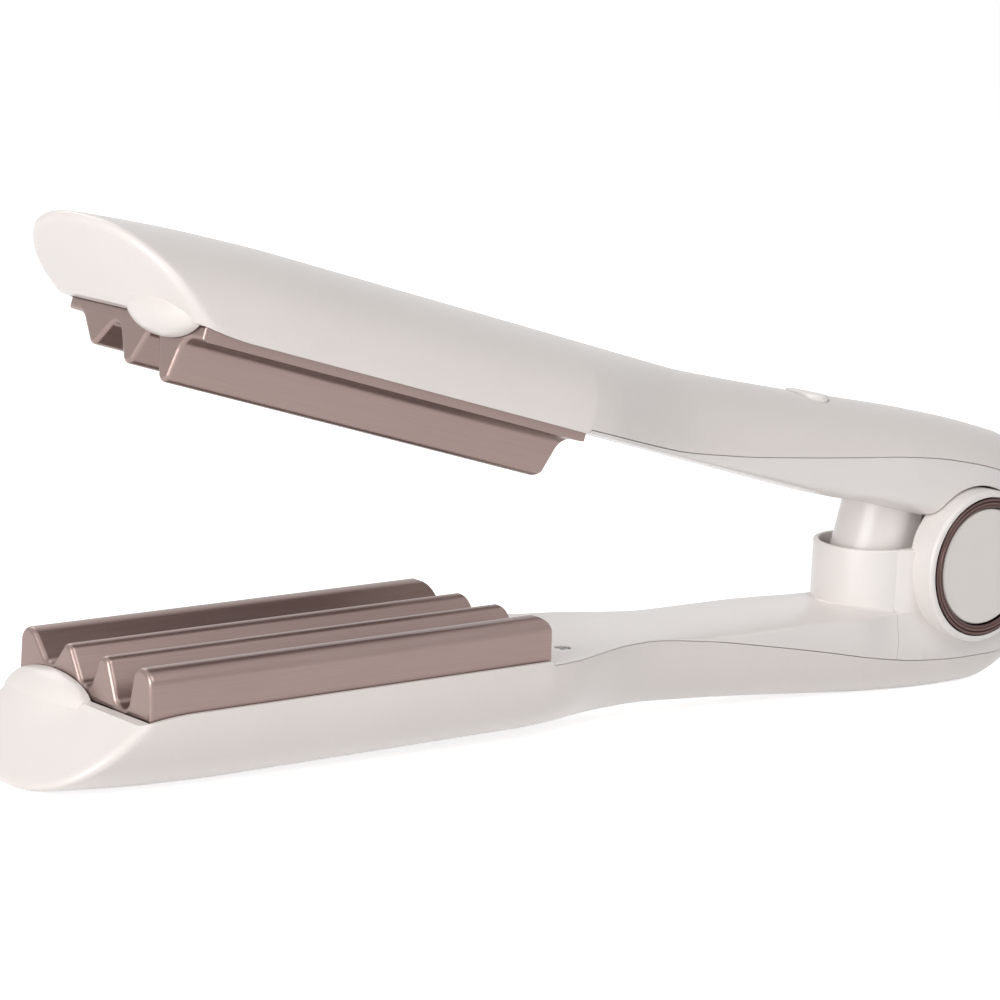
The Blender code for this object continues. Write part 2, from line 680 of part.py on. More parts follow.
def outer_shell(prefix, parent, tail, nose_corner):
    shell = loft(prefix + "_outer_shell", parent, casing_rings(tail, nose_corner), PEARL)
    cut(shell, loft(prefix + "_shell_hollow_cutter", parent,
                    casing_rings(tail, nose_corner, SHELL_WALL, OVERRUN)))
    # smooth lobe in front of the plate, on one half of the nose
    unite(shell, lobe_tool(prefix, parent))
    # seat of the plate and its rails, inside the lip
    side, rail_side = PLATE_WIDTH / 2 + GAP, RAIL_PLACE + RAIL_WIDTH + GAP
    back, rail_back = PLATE_BASE + GAP, PLATE_BASE + RAIL_HEIGHT + GAP
    seat = [(-side, -OVERRUN), (side, -OVERRUN), (side, back), (rail_side, back), (rail_side, rail_back),
            (-rail_side, rail_back), (-rail_side, back), (-side, back)]
    cut(shell, prism(prefix + "_plate_seat_cutter", parent, "X", seat, X_FACE, X_PLATE_REAR + GAP))
    # bosses for the cover screws
    for side, sign in sides(prefix):
        tip = inner_height(X_SCREW, SCREW_SPREAD)
        boss = rod(prefix + "_" + side + "_boss_tool", parent, "Z", BOSS_START, tip, BOSS_RADIUS,
                   (X_SCREW, sign * SCREW_SPREAD), steps=SMALL_ROUND_STEPS)
        hole = rod(prefix + "_" + side + "_boss_hole", parent, "Z", BOSS_START - OVERRUN,
                   SCREW_LENGTH + RIM_HEIGHT + OVERRUN, SCREW_SHANK_RADIUS + GAP,
                   (X_SCREW, sign * SCREW_SPREAD), steps=SMALL_ROUND_STEPS)
        unite(shell, boss)
        cut(shell, hole)
    return shell


def lobe_tool(prefix, parent):
    made = bmesh.new()
    fit = (Matrix.Translation((X_FACE, -LOBE_OFFSET, PLATE_BASE + LOBE_LIFT))
           @ Matrix.Diagonal((LOBE_REACH, LOBE_HALF_WIDTH, LOBE_HALF_HEIGHT, 1.0)))
    bmesh.ops.create_uvsphere(made, u_segments=2 * SPHERE_STEPS, v_segments=SPHERE_STEPS,
                              radius=1.0, matrix=fit)
    lobe = finish_mesh(prefix + "_lobe_tool", made, parent, None)
    reach = CASE_HALF_WIDTH
    behind = box(prefix + "_lobe_trim", parent, (X_FACE + OVERRUN, -reach, -reach),
                 (X_FACE + reach, reach, reach))
    cut(lobe, behind)
    return lobe


# Wave plates

def wave_circles(spread):
    """Circles that the wave line runs round, left to right: (y, z, radius, +1 ridge or -1 valley)."""
    half = PLATE_WIDTH / 2
    circles = []
    last = len(RIDGE_PLACE_SHARES) - 1
    for i, (place_share, height_share) in enumerate(zip(RIDGE_PLACE_SHARES, RIDGE_HEIGHT_SHARES)):
        radius = EDGE_RIDGE_RADIUS if i in (0, last) else RIDGE_RADIUS
        top = RIDGE_HEIGHT * height_share - PLATE_BASE
        circles.append((half * place_share, top - radius, radius + spread, 1))
        if i < last:
            floor = RIDGE_HEIGHT * VALLEY_FLOOR_SHARES[i] - PLATE_BASE
            circles.append((half * VALLEY_PLACE_SHARES[i], floor + VALLEY_RADIUS,
                            VALLEY_RADIUS - spread, -1))
    return circles


def wave_line(spread, first_angle, last_angle):
    """Points along the wave; spread sets the line off upwards, for the upper plate."""
    circles = wave_circles(spread)
    turns = []
    for (y1, z1, r1, s1), (y2, z2, r2, _) in zip(circles, circles[1:]):
        reach = math.hypot(y2 - y1, z2 - z1)
        turns.append(math.atan2(z2 - z1, y2 - y1) - s1 * math.asin((r1 + r2) / reach) + math.pi / 2)
    starts = [first_angle] + turns
    ends = turns + [last_angle]
    points = []
    for (y, z, radius, sign), start, end in zip(circles, starts, ends):
        for step in range(ARC_STEPS + 1):
            angle = start + (end - start) * step / ARC_STEPS
            points.append((y + sign * radius * math.cos(angle), z + sign * radius * math.sin(angle)))
    return points


def rail_points():
    """Back of a plate with its two rails, in the arm's own frame, from +y to -y."""
    half = PLATE_WIDTH / 2
    inner, outer, top = RAIL_PLACE, RAIL_PLACE + RAIL_WIDTH, PLATE_BASE + RAIL_HEIGHT
    return [(half, PLATE_BASE), (outer, PLATE_BASE), (outer, top), (inner, top), (inner, PLATE_BASE),
            (-inner, PLATE_BASE), (-inner, top), (-outer, top), (-outer, PLATE_BASE), (-half, PLATE_BASE)]


def lower_plate():
    line = [(-y, -z) for y, z in wave_line(0.0, math.pi, 0.0)]
    outline = line + rail_points()[::-1]
    plate = prism("lower_wave_plate", LOWER, "X", outline, X_PLATE_FRONT, X_PLATE_REAR, BRONZE)
    top = PLATE_BASE - RIDGE_HEIGHT
    radius = PLATE_CORNER_RADIUS
    arc = [(X_PLATE_REAR - radius + radius * math.sin(math.pi / 2 * i / ARC_STEPS),
            top + radius - radius * math.cos(math.pi / 2 * i / ARC_STEPS)) for i in range(ARC_STEPS + 1)]
    outside = [(X_PLATE_REAR + OVERRUN, top + radius), (X_PLATE_REAR + OVERRUN, top - OVERRUN),
               (X_PLATE_REAR - radius, top - OVERRUN)]
    cut(plate, prism("lower_plate_corner_cutter", LOWER, "Y", arc + outside, -PLATE_WIDTH, PLATE_WIDTH))
    return plate


def upper_plate():
    roof = RIDGE_HEIGHT - PLATE_BASE + MESH_GAP
    half = PLATE_WIDTH / 2
    edge = roof + FLANGE_EDGE_RISE
    line = [(-half, edge)] + wave_line(MESH_GAP, math.pi / 2, math.pi / 2) + [(half, edge)]
    outline = line + rail_points()
    plate = prism("upper_wave_plate", UPPER, "X", outline, X_PLATE_FRONT, X_PLATE_REAR, BRONZE)
    foot = RIDGE_HEIGHT * VALLEY_FLOOR_SHARES[0] - PLATE_BASE + MESH_GAP
    rear = X_PLATE_REAR - UPPER_RIDGE_SETBACK
    radius = UPPER_CORNER_RADIUS
    low_x = rear - UPPER_RIDGE_SLOPE
    arc = [(low_x - radius + radius * math.sin(math.pi / 2 * i / ARC_STEPS),
            foot + radius - radius * math.cos(math.pi / 2 * i / ARC_STEPS)) for i in range(ARC_STEPS + 1)]
    above = roof + LEAST_STEP
    outside = [(rear, above), (X_PLATE_REAR + OVERRUN, above), (X_PLATE_REAR + OVERRUN, foot - OVERRUN),
               (low_x - radius, foot - OVERRUN)]
    cut(plate, prism("upper_plate_corner_cutter", UPPER, "Y", arc + outside, -PLATE_WIDTH, PLATE_WIDTH))
    return plate


# Heater, its clamp, the carrier and the heat sensor behind each plate

def heating_parts(prefix, parent, sensor_name):
    front = X_PLATE_FRONT + HEATER_INSET
    rear = X_PLATE_REAR - HEATER_INSET
    base = PLATE_BASE + GAP
    box(prefix + "_heater", parent, (front, -HEATER_HALF_WIDTH, base),
        (rear, HEATER_HALF_WIDTH, base + HEATER_THICKNESS), CERAMIC)
    floor = base + CARRIER_DEPTH
    low = base + HEATER_THICKNESS + GAP
    rise = floor - GAP - CLAMP_THICKNESS - low
    steps = CLAMP_WAVES * CLAMP_STEPS
    under, over = [], []
    for i in range(steps + 1):
        x = front + (rear - front) * i / steps
        lift = rise * (1 - math.cos(2 * math.pi * CLAMP_WAVES * i / steps)) / 2
        under.append((x, low + lift))
        over.append((x, low + lift + CLAMP_THICKNESS))
    prism(prefix + "_heater_clamp", parent, "Y", under + over[::-1], -CLAMP_HALF_WIDTH,
          CLAMP_HALF_WIDTH, STEEL)
    wide, reach, wall = CARRIER_HALF_WIDTH, CARRIER_FLANGE_REACH, CARRIER_WALL
    outline = [(-reach, base), (-wide, base), (-wide, floor), (wide, floor), (wide, base), (reach, base),
               (reach, base + wall), (wide + wall, base + wall), (wide + wall, floor + wall),
               (-wide - wall, floor + wall), (-wide - wall, base + wall), (-reach, base + wall)]
    prism(prefix + "_plate_carrier", parent, "X", outline, X_PLATE_FRONT + CARRIER_INSET,
          X_PLATE_REAR - CARRIER_INSET, BLACK)
    box(sensor_name, parent, (rear + GAP, -SENSOR_HALF_WIDTH, base),
        (rear + GAP + SENSOR_LENGTH, SENSOR_HALF_WIDTH, base + SENSOR_HEIGHT), WHITE)


# Inner cover of each arm, from the plates to the hinge

def cover(prefix, parent, rear, tail):
    name = prefix + "_inner_cover"
    front = X_PLATE_REAR + GAP
    places = [front + (min(rear, 0.0) - front) * share for share in COVER_RING_SHARES]
    if rear > 0.0:
        places += [0.0] + [rear - UPPER_TAIL_ROUND * (1 - math.sin(math.pi / 2 * i / EDGE_STEPS))
                           for i in range(EDGE_STEPS + 1)]

    def rings(start, end, inset, floor, lift):
        return [[(x, y, z) for y, z in bowl_points(x, rim(x) + lift, inset + tail_inset(x, tail), floor)]
                for x in between(places, start, end)]

    body = loft(name, parent, rings(front, rear, 0.0, 0.0, -GAP), WHITE)
    lip_inset = SHELL_WALL + LIP_SLACK
    lip = rings(front + GAP, rear - lip_inset, lip_inset, LIP_RISE, LIP_DEPTH)
    unite(body, loft(name + "_lip_tool", parent, lip))
    cut(body, loft(name + "_hollow_cutter", parent,
                   rings(front + COVER_END_WALL, rear - lip_inset - LIP_WALL, lip_inset + LIP_WALL,
                         COVER_FLOOR, LIP_DEPTH + OVERRUN)))
    for side, sign in sides(prefix):
        centre = (X_SCREW, sign * SCREW_SPREAD)
        cut(body, turned(prefix + "_" + side + "_screw_hole", parent, "Z",
                         screw_profile(GAP, OVERRUN), centre, steps=SMALL_ROUND_STEPS))
    return body


def screw_profile(slack, past):
    """Countersunk screw driven from the closing side: its head is at the underside."""
    top = GRIP_UNDERSIDE + SCREW_SUNK
    neck = top + SCREW_HEAD_HEIGHT
    head = SCREW_HEAD_RADIUS + slack
    shank = SCREW_SHANK_RADIUS + slack
    return [(0.0, top + SCREW_LENGTH), (shank, top + SCREW_LENGTH), (shank, neck), (head, top + SCREW_SUNK),
            (head, top - past), (0.0, top - past)]


# Hinge: cheeks and housing on the lower arm, barrel on the upper one

def cheek_edge(radius, face):
    """Rounded rim of a cheek, from its round side to its face."""
    steps = [math.pi / 2 * i / EDGE_STEPS for i in range(EDGE_STEPS + 1)]
    return [(radius - CHEEK_EDGE_RADIUS * (1 - math.cos(a)), face - CHEEK_EDGE_RADIUS * (1 - math.sin(a)))
            for a in steps]


def cheeks_tool():
    """Both round cheeks in one piece; the space for the barrel is cut out later."""
    far = [(radius, -along) for radius, along in cheek_edge(FAR_CHEEK_RADIUS, FAR_CHEEK_FACE)[::-1]]
    step = [(FAR_CHEEK_RADIUS, 0.0), (CHEEK_RADIUS, 0.0)]
    return turned("cheeks_tool", LOWER, "Y", [(0.0, -FAR_CHEEK_FACE)] + far + step
                  + cheek_edge(CHEEK_RADIUS, NEAR_CHEEK_FACE) + [(0.0, NEAR_CHEEK_FACE)])


def cup_cutter(prefix):
    return rod(prefix + "_cup_cutter", LOWER, "Z", -CUP_RADIUS, PLATE_CREST, CUP_RADIUS + GAP,
               (-CUP_REACH, 0.0))


def hinge_housing():
    front = -HOUSING_REACH
    places = [front + GAP] + [front * share for share in HOUSING_FRONT_SHARES]
    places += [TAIL_LENGTH * share for share in reversed(TAIL_RING_SHARES)]
    rings = [[(x, y, z) for y, z in bowl_points(x, rim(x) - GAP, 0.0, 0.0)] for x in places]
    body = loft("hinge_housing", LOWER, rings, WHITE)
    shoulder = box("housing_shoulder_tool", LOWER, (front + GAP, NEAR_CHEEK_START + GAP, -CUP_RISE),
                   (-SHOULDER_REAR, SHOULDER_SIDE, HUB_UNDERSIDE + CHEEK_EDGE_RADIUS * 2))
    unite(body, shoulder, cheeks_tool())
    space = rod("barrel_space_cutter", LOWER, "Y", -FAR_CHEEK_START, NEAR_CHEEK_START,
                BARREL_RADIUS + HUB_CUT_GAP)
    cup_hole = cup_cutter("housing")
    start = SWIVEL_BARREL_START
    seat = rod("swivel_seat_cutter", LOWER, "X", start - GAP, TAIL_LENGTH + OVERRUN,
               SWIVEL_BARREL_RADIUS + GAP)
    lead_hole = rod("lead_hole_cutter", LOWER, "X", BARREL_RADIUS - OVERRUN, start + OVERRUN,
                    LEAD_HOLE_RADIUS, steps=SMALL_ROUND_STEPS)
    pin_hole = rod("pin_hole_cutter", LOWER, "Y", -CASE_HALF_WIDTH, CASE_HALF_WIDTH,
                   HINGE_PIN_RADIUS + GAP, steps=SMALL_ROUND_STEPS)
    pockets = [rod(name + "_hub_pocket_cutter", LOWER, "Y", low, high, radius - BEZEL_WIDTH + GAP)
               for name, radius, low, high in
               (("near", CHEEK_RADIUS, NEAR_CHEEK_FACE - HUB_POCKET_DEPTH, CASE_HALF_WIDTH),
                ("far", FAR_CHEEK_RADIUS, -CASE_HALF_WIDTH, HUB_POCKET_DEPTH - FAR_CHEEK_FACE))]
    cut(body, space)
    body.modifiers[-1].use_self = True      # the cheeks may touch the housing that they join
    cut(body, cup_hole, seat, lead_hole, pin_hole, *pockets)
    return body


def hub_covers():
    for name, side, radius, face in (("near", 1, CHEEK_RADIUS, NEAR_CHEEK_FACE),
                                     ("far", -1, FAR_CHEEK_RADIUS, FAR_CHEEK_FACE)):
        outer = radius - BEZEL_WIDTH
        inner = outer - RING_WIDTH
        seat = face - HUB_POCKET_DEPTH + GAP
        ring = ring_profile(inner, outer, seat, face + RING_PROUD)
        turned(name + "_hub_ring", LOWER, "Y", [(r, side * a) for r, a in ring], look=DARK_BRONZE)
        top = face - DISC_SUNK
        disc = [(0.0, seat), (inner - GAP, seat), (inner - GAP, top), (0.0, top)]
        turned(name + "_hub_disc", LOWER, "Y", [(r, side * a) for r, a in disc], look=PALE_GREY)


def hinge_barrel():
    near = BARREL_SLACK - NEAR_CHEEK_START
    far = FAR_CHEEK_START - BARREL_SLACK
    barrel = rod("hinge_barrel", UPPER, "Y", near, far, BARREL_RADIUS, look=WHITE)
    front = CUP_REACH - CUP_RADIUS - HUB_CUT_GAP
    reach = CASE_HALF_WIDTH
    for name, parent in (("open", LOWER), ("shut", UPPER)):
        cut(barrel, box("barrel_" + name + "_cutter", parent, (-reach, -reach, -reach),
                        (-front, reach, reach)))
    top = min(inner_height(x, WEB_HALF_WIDTH) for x in (-WEB_FRONT, WEB_REAR)) - GAP
    unite(barrel, box("barrel_web_tool", UPPER, (-WEB_FRONT, -WEB_HALF_WIDTH, BARREL_RADIUS / 2),
                      (WEB_REAR, WEB_HALF_WIDTH, top)))
    bush = HINGE_PIN_RADIUS + GAP + BUSH_WALL
    cut(barrel, rod("bush_bore_cutter", UPPER, "Y", -reach, reach, bush + GAP, steps=SMALL_ROUND_STEPS))
    for name, start, end in (("near", near, near + BUSH_LENGTH), ("far", far - BUSH_LENGTH, far)):
        turned(name + "_hinge_bush", UPPER, "Y", ring_profile(HINGE_PIN_RADIUS + GAP, bush, start, end),
               look=STEEL, steps=SMALL_ROUND_STEPS)
    rod("hinge_pin", LOWER, "Y", HUB_POCKET_DEPTH - FAR_CHEEK_FACE, NEAR_CHEEK_FACE - HUB_POCKET_DEPTH,
        HINGE_PIN_RADIUS, look=STEEL, steps=SMALL_ROUND_STEPS)
    return barrel


# Return spring in its cup, pressed by the post of the upper arm

def spring_cup():
    inner = CUP_RADIUS - CUP_WALL
    profile = [(0.0, CUP_DEPTH - CUP_FLOOR), (inner, CUP_DEPTH - CUP_FLOOR), (inner, -CUP_RISE),
               (CUP_RADIUS, -CUP_RISE), (CUP_RADIUS, CUP_DEPTH), (0.0, CUP_DEPTH)]
    return turned("spring_cup", LOWER, "Z", profile, (-CUP_REACH, 0.0), WHITE)


POST_SEAT = monotone(UNDERSIDE_KEYS, -POST_REACH) + COVER_FLOOR + POST_LIFT
POST_CEILING = POST_SEAT - POST_FLANGE


def spring_post():
    inner = POST_RADIUS - POST_WALL
    flange = POST_RADIUS + POST_FLANGE_REACH
    profile = [(0.0, POST_CEILING), (inner, POST_CEILING), (inner, -POST_DROP), (POST_RADIUS, -POST_DROP),
               (POST_RADIUS, POST_SEAT), (flange, POST_SEAT),
               (flange, POST_SEAT + POST_FLANGE), (0.0, POST_SEAT + POST_FLANGE)]
    return turned("spring_post", UPPER, "Z", profile, (-POST_REACH, 0.0), WHITE)


def return_spring():
    """Coil from the cup's floor to the post's ceiling, bent as the post leans over."""
    clear = SPRING_WIRE_RADIUS + GAP
    foot = Vector((-CUP_REACH, 0.0, CUP_DEPTH - CUP_FLOOR - clear))
    sine, cosine = math.sin(OPENING_ANGLE), math.cos(OPENING_ANGLE)
    high = POST_CEILING - clear
    head = Vector((-POST_REACH * cosine + high * sine, 0.0, -POST_REACH * sine - high * cosine))
    lean = Vector((sine, 0.0, -cosine))
    sideways = Vector((0.0, 1.0, 0.0))
    knee = head - lean * ((head.x - foot.x) / sine)
    points = []
    steps = SPRING_TURNS * SPRING_STEPS
    for i in range(steps + 1):
        t = i / steps
        middle = foot * (1 - t) ** 2 + knee * 2 * t * (1 - t) + head * t ** 2
        along = ((knee - foot) * (1 - t) + (head - knee) * t).normalized()
        across = sideways.cross(along)
        turn = 2 * math.pi * SPRING_TURNS * t
        points.append(middle + (sideways * math.cos(turn) + across * math.sin(turn)) * SPRING_RADIUS)
    pitch = min((a - b).length for a, b in zip(points, points[SPRING_STEPS:]))
    least = pitch - 2 * SPRING_WIRE_RADIUS
    print("return_spring: least gap between turns, in metres:", round(least, GAP_DIGITS))
    return wire("return_spring", LOWER, points, SPRING_WIRE_RADIUS, STEEL)


# Power button in its scoop, with the board and switch under it

def oval_rings(levels):
    """Rings for a loft from (half length, half width, height) levels."""
    angles = [2 * math.pi * i / ROUND_STEPS for i in range(ROUND_STEPS)]
    return [[(a * math.cos(angle), b * math.sin(angle), z) for angle in angles] for a, b, z in levels]


def button_group(shell, inner):
    x = -BUTTON_REACH
    long, wide = BUTTON_HALF_LENGTH, BUTTON_HALF_WIDTH
    slope = math.atan((crest(x + long) - crest(x - long)) / (2 * long))
    seat = frame("power_button_axis", UPPER, (x, 0.0, crest(x)), (0.0, -slope, 0.0))
    collar_foot = -SCOOP_DEPTH - COLLAR_DEPTH
    collar = loft("button_collar_tool", seat, oval_rings(
        [(long + COLLAR_REACH, wide + COLLAR_REACH, collar_foot),
         (long + COLLAR_REACH, wide + COLLAR_REACH, -SHELL_WALL - GAP)]))
    unite(shell, collar)
    # the scoop is the lower cap of an ellipsoid twice as deep
    curve = SCOOP_DEPTH * 2
    spread = math.sqrt(1 - ((curve - SCOOP_DEPTH) / curve) ** 2)
    fit = (Matrix.Translation((-SCOOP_SETBACK, 0.0, curve - SCOOP_DEPTH))
           @ Matrix.Diagonal((SCOOP_HALF_LENGTH / spread, SCOOP_HALF_WIDTH / spread, curve, 1.0)))
    made = bmesh.new()
    bmesh.ops.create_uvsphere(made, u_segments=ROUND_STEPS, v_segments=SECTION_STEPS, radius=1.0,
                              matrix=fit)
    cut(shell, finish_mesh("thumb_scoop_cutter", made, seat, None))
    cut(shell, loft("button_hole_cutter", seat, oval_rings(
        [(long + GAP, wide + GAP, collar_foot - OVERRUN), (long + GAP, wide + GAP, OVERRUN)])))
    flange_top = collar_foot - GAP
    flange_foot = flange_top - BUTTON_FLANGE
    out = BUTTON_FLANGE_REACH
    switch_top = BOARD_HEIGHT + BOARD_THICKNESS + GAP + SWITCH_HEIGHT
    stem = SWITCH_HALF_SIZE / 2
    crown = BUTTON_CROWN
    loft("power_button", seat, oval_rings(
        [(stem, stem, switch_top + BUTTON_TRAVEL + GAP - crest(x)), (stem, stem, flange_foot),
         (long + out, wide + out, flange_foot), (long + out, wide + out, flange_top),
         (long, wide, flange_top), (long, wide, BUTTON_PROUD - crown),
         (long - crown, wide - crown, BUTTON_PROUD)]), WHITE)
    top = BOARD_HEIGHT + BOARD_THICKNESS
    box("control_board", UPPER, (-BOARD_FRONT, -BOARD_HALF_WIDTH, BOARD_HEIGHT),
        (-BOARD_REAR, BOARD_HALF_WIDTH, top), BOARD)
    box("power_switch", UPPER, (x - SWITCH_HALF_SIZE, -SWITCH_HALF_SIZE, top + GAP),
        (x + SWITCH_HALF_SIZE, SWITCH_HALF_SIZE, switch_top), BLACK)
    foot = GRIP_UNDERSIDE + COVER_FLOOR / 2
    across = BOARD_HALF_WIDTH - STANDOFF_INSET
    for i, reach in enumerate((BOARD_FRONT - STANDOFF_INSET, BOARD_REAR + STANDOFF_INSET)):
        for j, y in enumerate((-across, across)):
            unite(inner, rod("standoff_tool_%d%d" % (i, j), UPPER, "Z", foot, BOARD_HEIGHT - GAP,
                             STANDOFF_RADIUS, (-reach, y), steps=SMALL_ROUND_STEPS))


# Cord swivel in the tail

def cord_swivel():
    end = TAIL_LENGTH + GAP
    mouth = end + SWIVEL_FLANGE
    start = SWIVEL_BARREL_START
    shoulder = mouth - SWIVEL_THROAT_LENGTH
    edge = CHEEK_EDGE_RADIUS
    turned("swivel_housing", LOWER, "X",
           [(SWIVEL_BORE_RADIUS, start), (SWIVEL_BARREL_RADIUS, start), (SWIVEL_BARREL_RADIUS, end),
            (TAIL_RADIUS, end), (TAIL_RADIUS, mouth - edge), (TAIL_RADIUS - edge, mouth),
            (SWIVEL_THROAT_RADIUS, mouth), (SWIVEL_THROAT_RADIUS, shoulder), (SWIVEL_BORE_RADIUS, shoulder)],
           look=WHITE)
    axis = frame("cord_swivel_axis", LOWER, (mouth, 0.0, 0.0), (0.0, 0.0, 0.0))
    back = shoulder - GAP - mouth
    inner_end = start + RETAINER_THICKNESS + GAP - mouth
    body = SWIVEL_BORE_RADIUS - GAP
    neck = SWIVEL_THROAT_RADIUS - GAP
    turned("cord_swivel", axis, "X",
           [(CORD_BORE_RADIUS, inner_end), (body, inner_end), (body, back), (neck, back),
            (neck, SWIVEL_NECK_LENGTH - edge), (neck - edge, SWIVEL_NECK_LENGTH),
            (CORD_BORE_RADIUS, SWIVEL_NECK_LENGTH)], look=WHITE)
    turned("swivel_retainer", LOWER, "X",
           ring_profile(CORD_BORE_RADIUS + GAP, body, start, start + RETAINER_THICKNESS),
           look=STEEL)


def screws(prefix, parent):
    for side, sign in sides(prefix):
        turned(prefix + "_" + side + "_screw", parent, "Z", screw_profile(0.0, -SCREW_SUNK / 2),
               (X_SCREW, sign * SCREW_SPREAD), STEEL, SMALL_ROUND_STEPS)


def heater_lead(prefix, parent, end_x, end_z):
    start_x = X_PLATE_REAR - HEATER_INSET + SENSOR_LENGTH + GAP * 2 + LEAD_RADIUS
    start_z = PLATE_BASE + GAP + SENSOR_HEIGHT / 2
    high = SEAM_FRONT + LIP_DEPTH + LEAD_RADIUS * 2 + GAP
    keys = [(start_x, start_z), (X_PLATE_REAR - OVERRUN, high), (X_PLATE_REAR + HEATER_INSET, high),
            (end_x - HEATER_INSET, end_z), (end_x, end_z)]
    points = []
    for i in range(LEAD_STEPS + 1):
        x = start_x + (end_x - start_x) * (i / LEAD_STEPS) ** LEAD_STEP_POWER
        points.append((x, 0.0, monotone(keys, x)))
    wire(prefix + "_heater_lead", parent, points, LEAD_RADIUS, COPPER)


# Building the crimper

lower_shell = outer_shell("lower", LOWER, TAIL_LENGTH, (LOWER_NOSE_TWIST, 0.0))
upper_shell = outer_shell("upper", UPPER, UPPER_TAIL_LENGTH, (UPPER_NOSE_TWIST, UPPER_NOSE_TUCK))
lower_cover = cover("lower", LOWER, -HOUSING_REACH - GAP, TAIL_LENGTH)
upper_cover = cover("upper", UPPER, UPPER_TAIL_LENGTH, UPPER_TAIL_LENGTH)
lower_plate()
upper_plate()
heating_parts("lower", LOWER, "lower_heat_sensor")
heating_parts("upper", UPPER, "upper_thermal_fuse")
hinge_housing()
hub_covers()
hinge_barrel()
spring_cup()
spring_post()
return_spring()
cut(lower_cover, cup_cutter("cover"))
cut(upper_cover,
    rod("cover_post_hole_cutter", UPPER, "Z", 0.0, POST_SEAT + OVERRUN, POST_RADIUS + GAP,
        (-POST_REACH, 0.0)),
    rod("cover_hub_cutter", UPPER, "Y", -CASE_HALF_WIDTH, FAR_CHEEK_START, CHEEK_RADIUS + HUB_CUT_GAP),
    rod("cover_far_hub_cutter", UPPER, "Y", 0.0, CASE_HALF_WIDTH, FAR_CHEEK_RADIUS + HUB_CUT_GAP))
button_group(upper_shell, upper_cover)
cord_swivel()
screws("lower", LOWER)
screws("upper", UPPER)
terminal_seat = GRIP_UNDERSIDE + COVER_FLOOR + GAP
box("terminal_block", LOWER, (-TERMINAL_REACH - TERMINAL_HALF_LENGTH, -TERMINAL_HALF_WIDTH, terminal_seat),
    (-TERMINAL_REACH + TERMINAL_HALF_LENGTH, TERMINAL_HALF_WIDTH, terminal_seat + TERMINAL_HEIGHT), BLACK)
heater_lead("lower", LOWER, -TERMINAL_REACH - TERMINAL_HALF_LENGTH - GAP - LEAD_RADIUS,
            terminal_seat + TERMINAL_HEIGHT / 2)
heater_lead("upper", UPPER, -BOARD_FRONT - GAP - LEAD_RADIUS, BOARD_HEIGHT + BOARD_THICKNESS / 2)
# flats that the lower arm rests on
reach = PLATE_REACH + PLATE_LENGTH + TAIL_LENGTH
cut(lower_shell, box("floor_cutter", None, (-reach, -reach, -reach), (reach, reach, 0.0)))
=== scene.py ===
import json
from math import asin, atan, atan2, copysign, cos, hypot, pi, radians, sin, sqrt

import bmesh
import bpy
from mathutils import Matrix, Vector

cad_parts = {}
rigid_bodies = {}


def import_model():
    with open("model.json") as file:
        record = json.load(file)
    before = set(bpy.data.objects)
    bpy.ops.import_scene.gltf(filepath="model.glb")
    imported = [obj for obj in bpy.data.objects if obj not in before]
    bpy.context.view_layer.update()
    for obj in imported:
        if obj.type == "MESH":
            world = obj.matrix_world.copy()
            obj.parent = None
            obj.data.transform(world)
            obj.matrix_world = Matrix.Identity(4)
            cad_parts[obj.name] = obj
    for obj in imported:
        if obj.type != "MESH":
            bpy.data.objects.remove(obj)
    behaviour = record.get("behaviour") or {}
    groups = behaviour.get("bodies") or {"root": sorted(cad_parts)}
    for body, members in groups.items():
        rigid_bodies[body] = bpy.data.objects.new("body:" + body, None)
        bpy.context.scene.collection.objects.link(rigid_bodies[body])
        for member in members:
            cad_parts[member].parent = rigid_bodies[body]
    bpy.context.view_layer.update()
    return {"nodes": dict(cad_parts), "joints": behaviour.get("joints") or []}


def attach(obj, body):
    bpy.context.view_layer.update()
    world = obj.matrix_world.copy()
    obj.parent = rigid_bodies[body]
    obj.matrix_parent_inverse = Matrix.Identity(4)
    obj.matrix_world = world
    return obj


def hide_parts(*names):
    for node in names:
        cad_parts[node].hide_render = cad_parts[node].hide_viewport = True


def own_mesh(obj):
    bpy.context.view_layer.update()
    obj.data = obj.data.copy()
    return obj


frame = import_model()
print("frame loaded:", len(frame["nodes"]), "nodes")

# Each arm is made in its own frame: hinge axis along Y at the origin, tip at -X,
# closing plane of the plates at z = 0, outside of the arm at +Z.
joints = {joint["name"]: joint for joint in frame["joints"]}
hingePoint = Vector(joints["arm_hinge"]["pos_m"])
opening = radians(joints["arm_hinge"]["range_deg"][1])
lieAxis = joints["cord_swivel_turn"]["axis"]
tilt = atan2(lieAxis[2], lieAxis[0])  # how far the lower arm's closing plane leans
toHinge = Matrix.Translation(hingePoint)
armFrames = {
    "lower": toHinge @ Matrix.Rotation(-tilt, 4, "Y") @ Matrix.Rotation(pi, 4, "X"),
    "upper": toHinge @ Matrix.Rotation(opening - tilt, 4, "Y"),
}
armBodies = {"lower": "lower_arm", "upper": "upper_arm"}
mm = 0.001
gap = 0.0003  # metres between pieces that don't touch
overrun = 0.0010  # metres that a cutting tool goes past

# Smoothness of the visible meshes: steps round each kind of curve, then limits
fine = {"section": 56, "outline": 64, "round": 96, "smallRound": 32, "arc": 14, "edge": 7, "cap": 40,
        "corner": 4, "cornerShare": 0.45, "ramp": 16, "tail": 10, "crown": 8, "dome": 12, "shoulder": 5,
        "wire": 2, "ball": (96, 64), "leastAcross": 0.2, "leastSquared": 1.4,
        "sharpAngle": radians(30), "weld": 0.000001}


# Curves along an arm

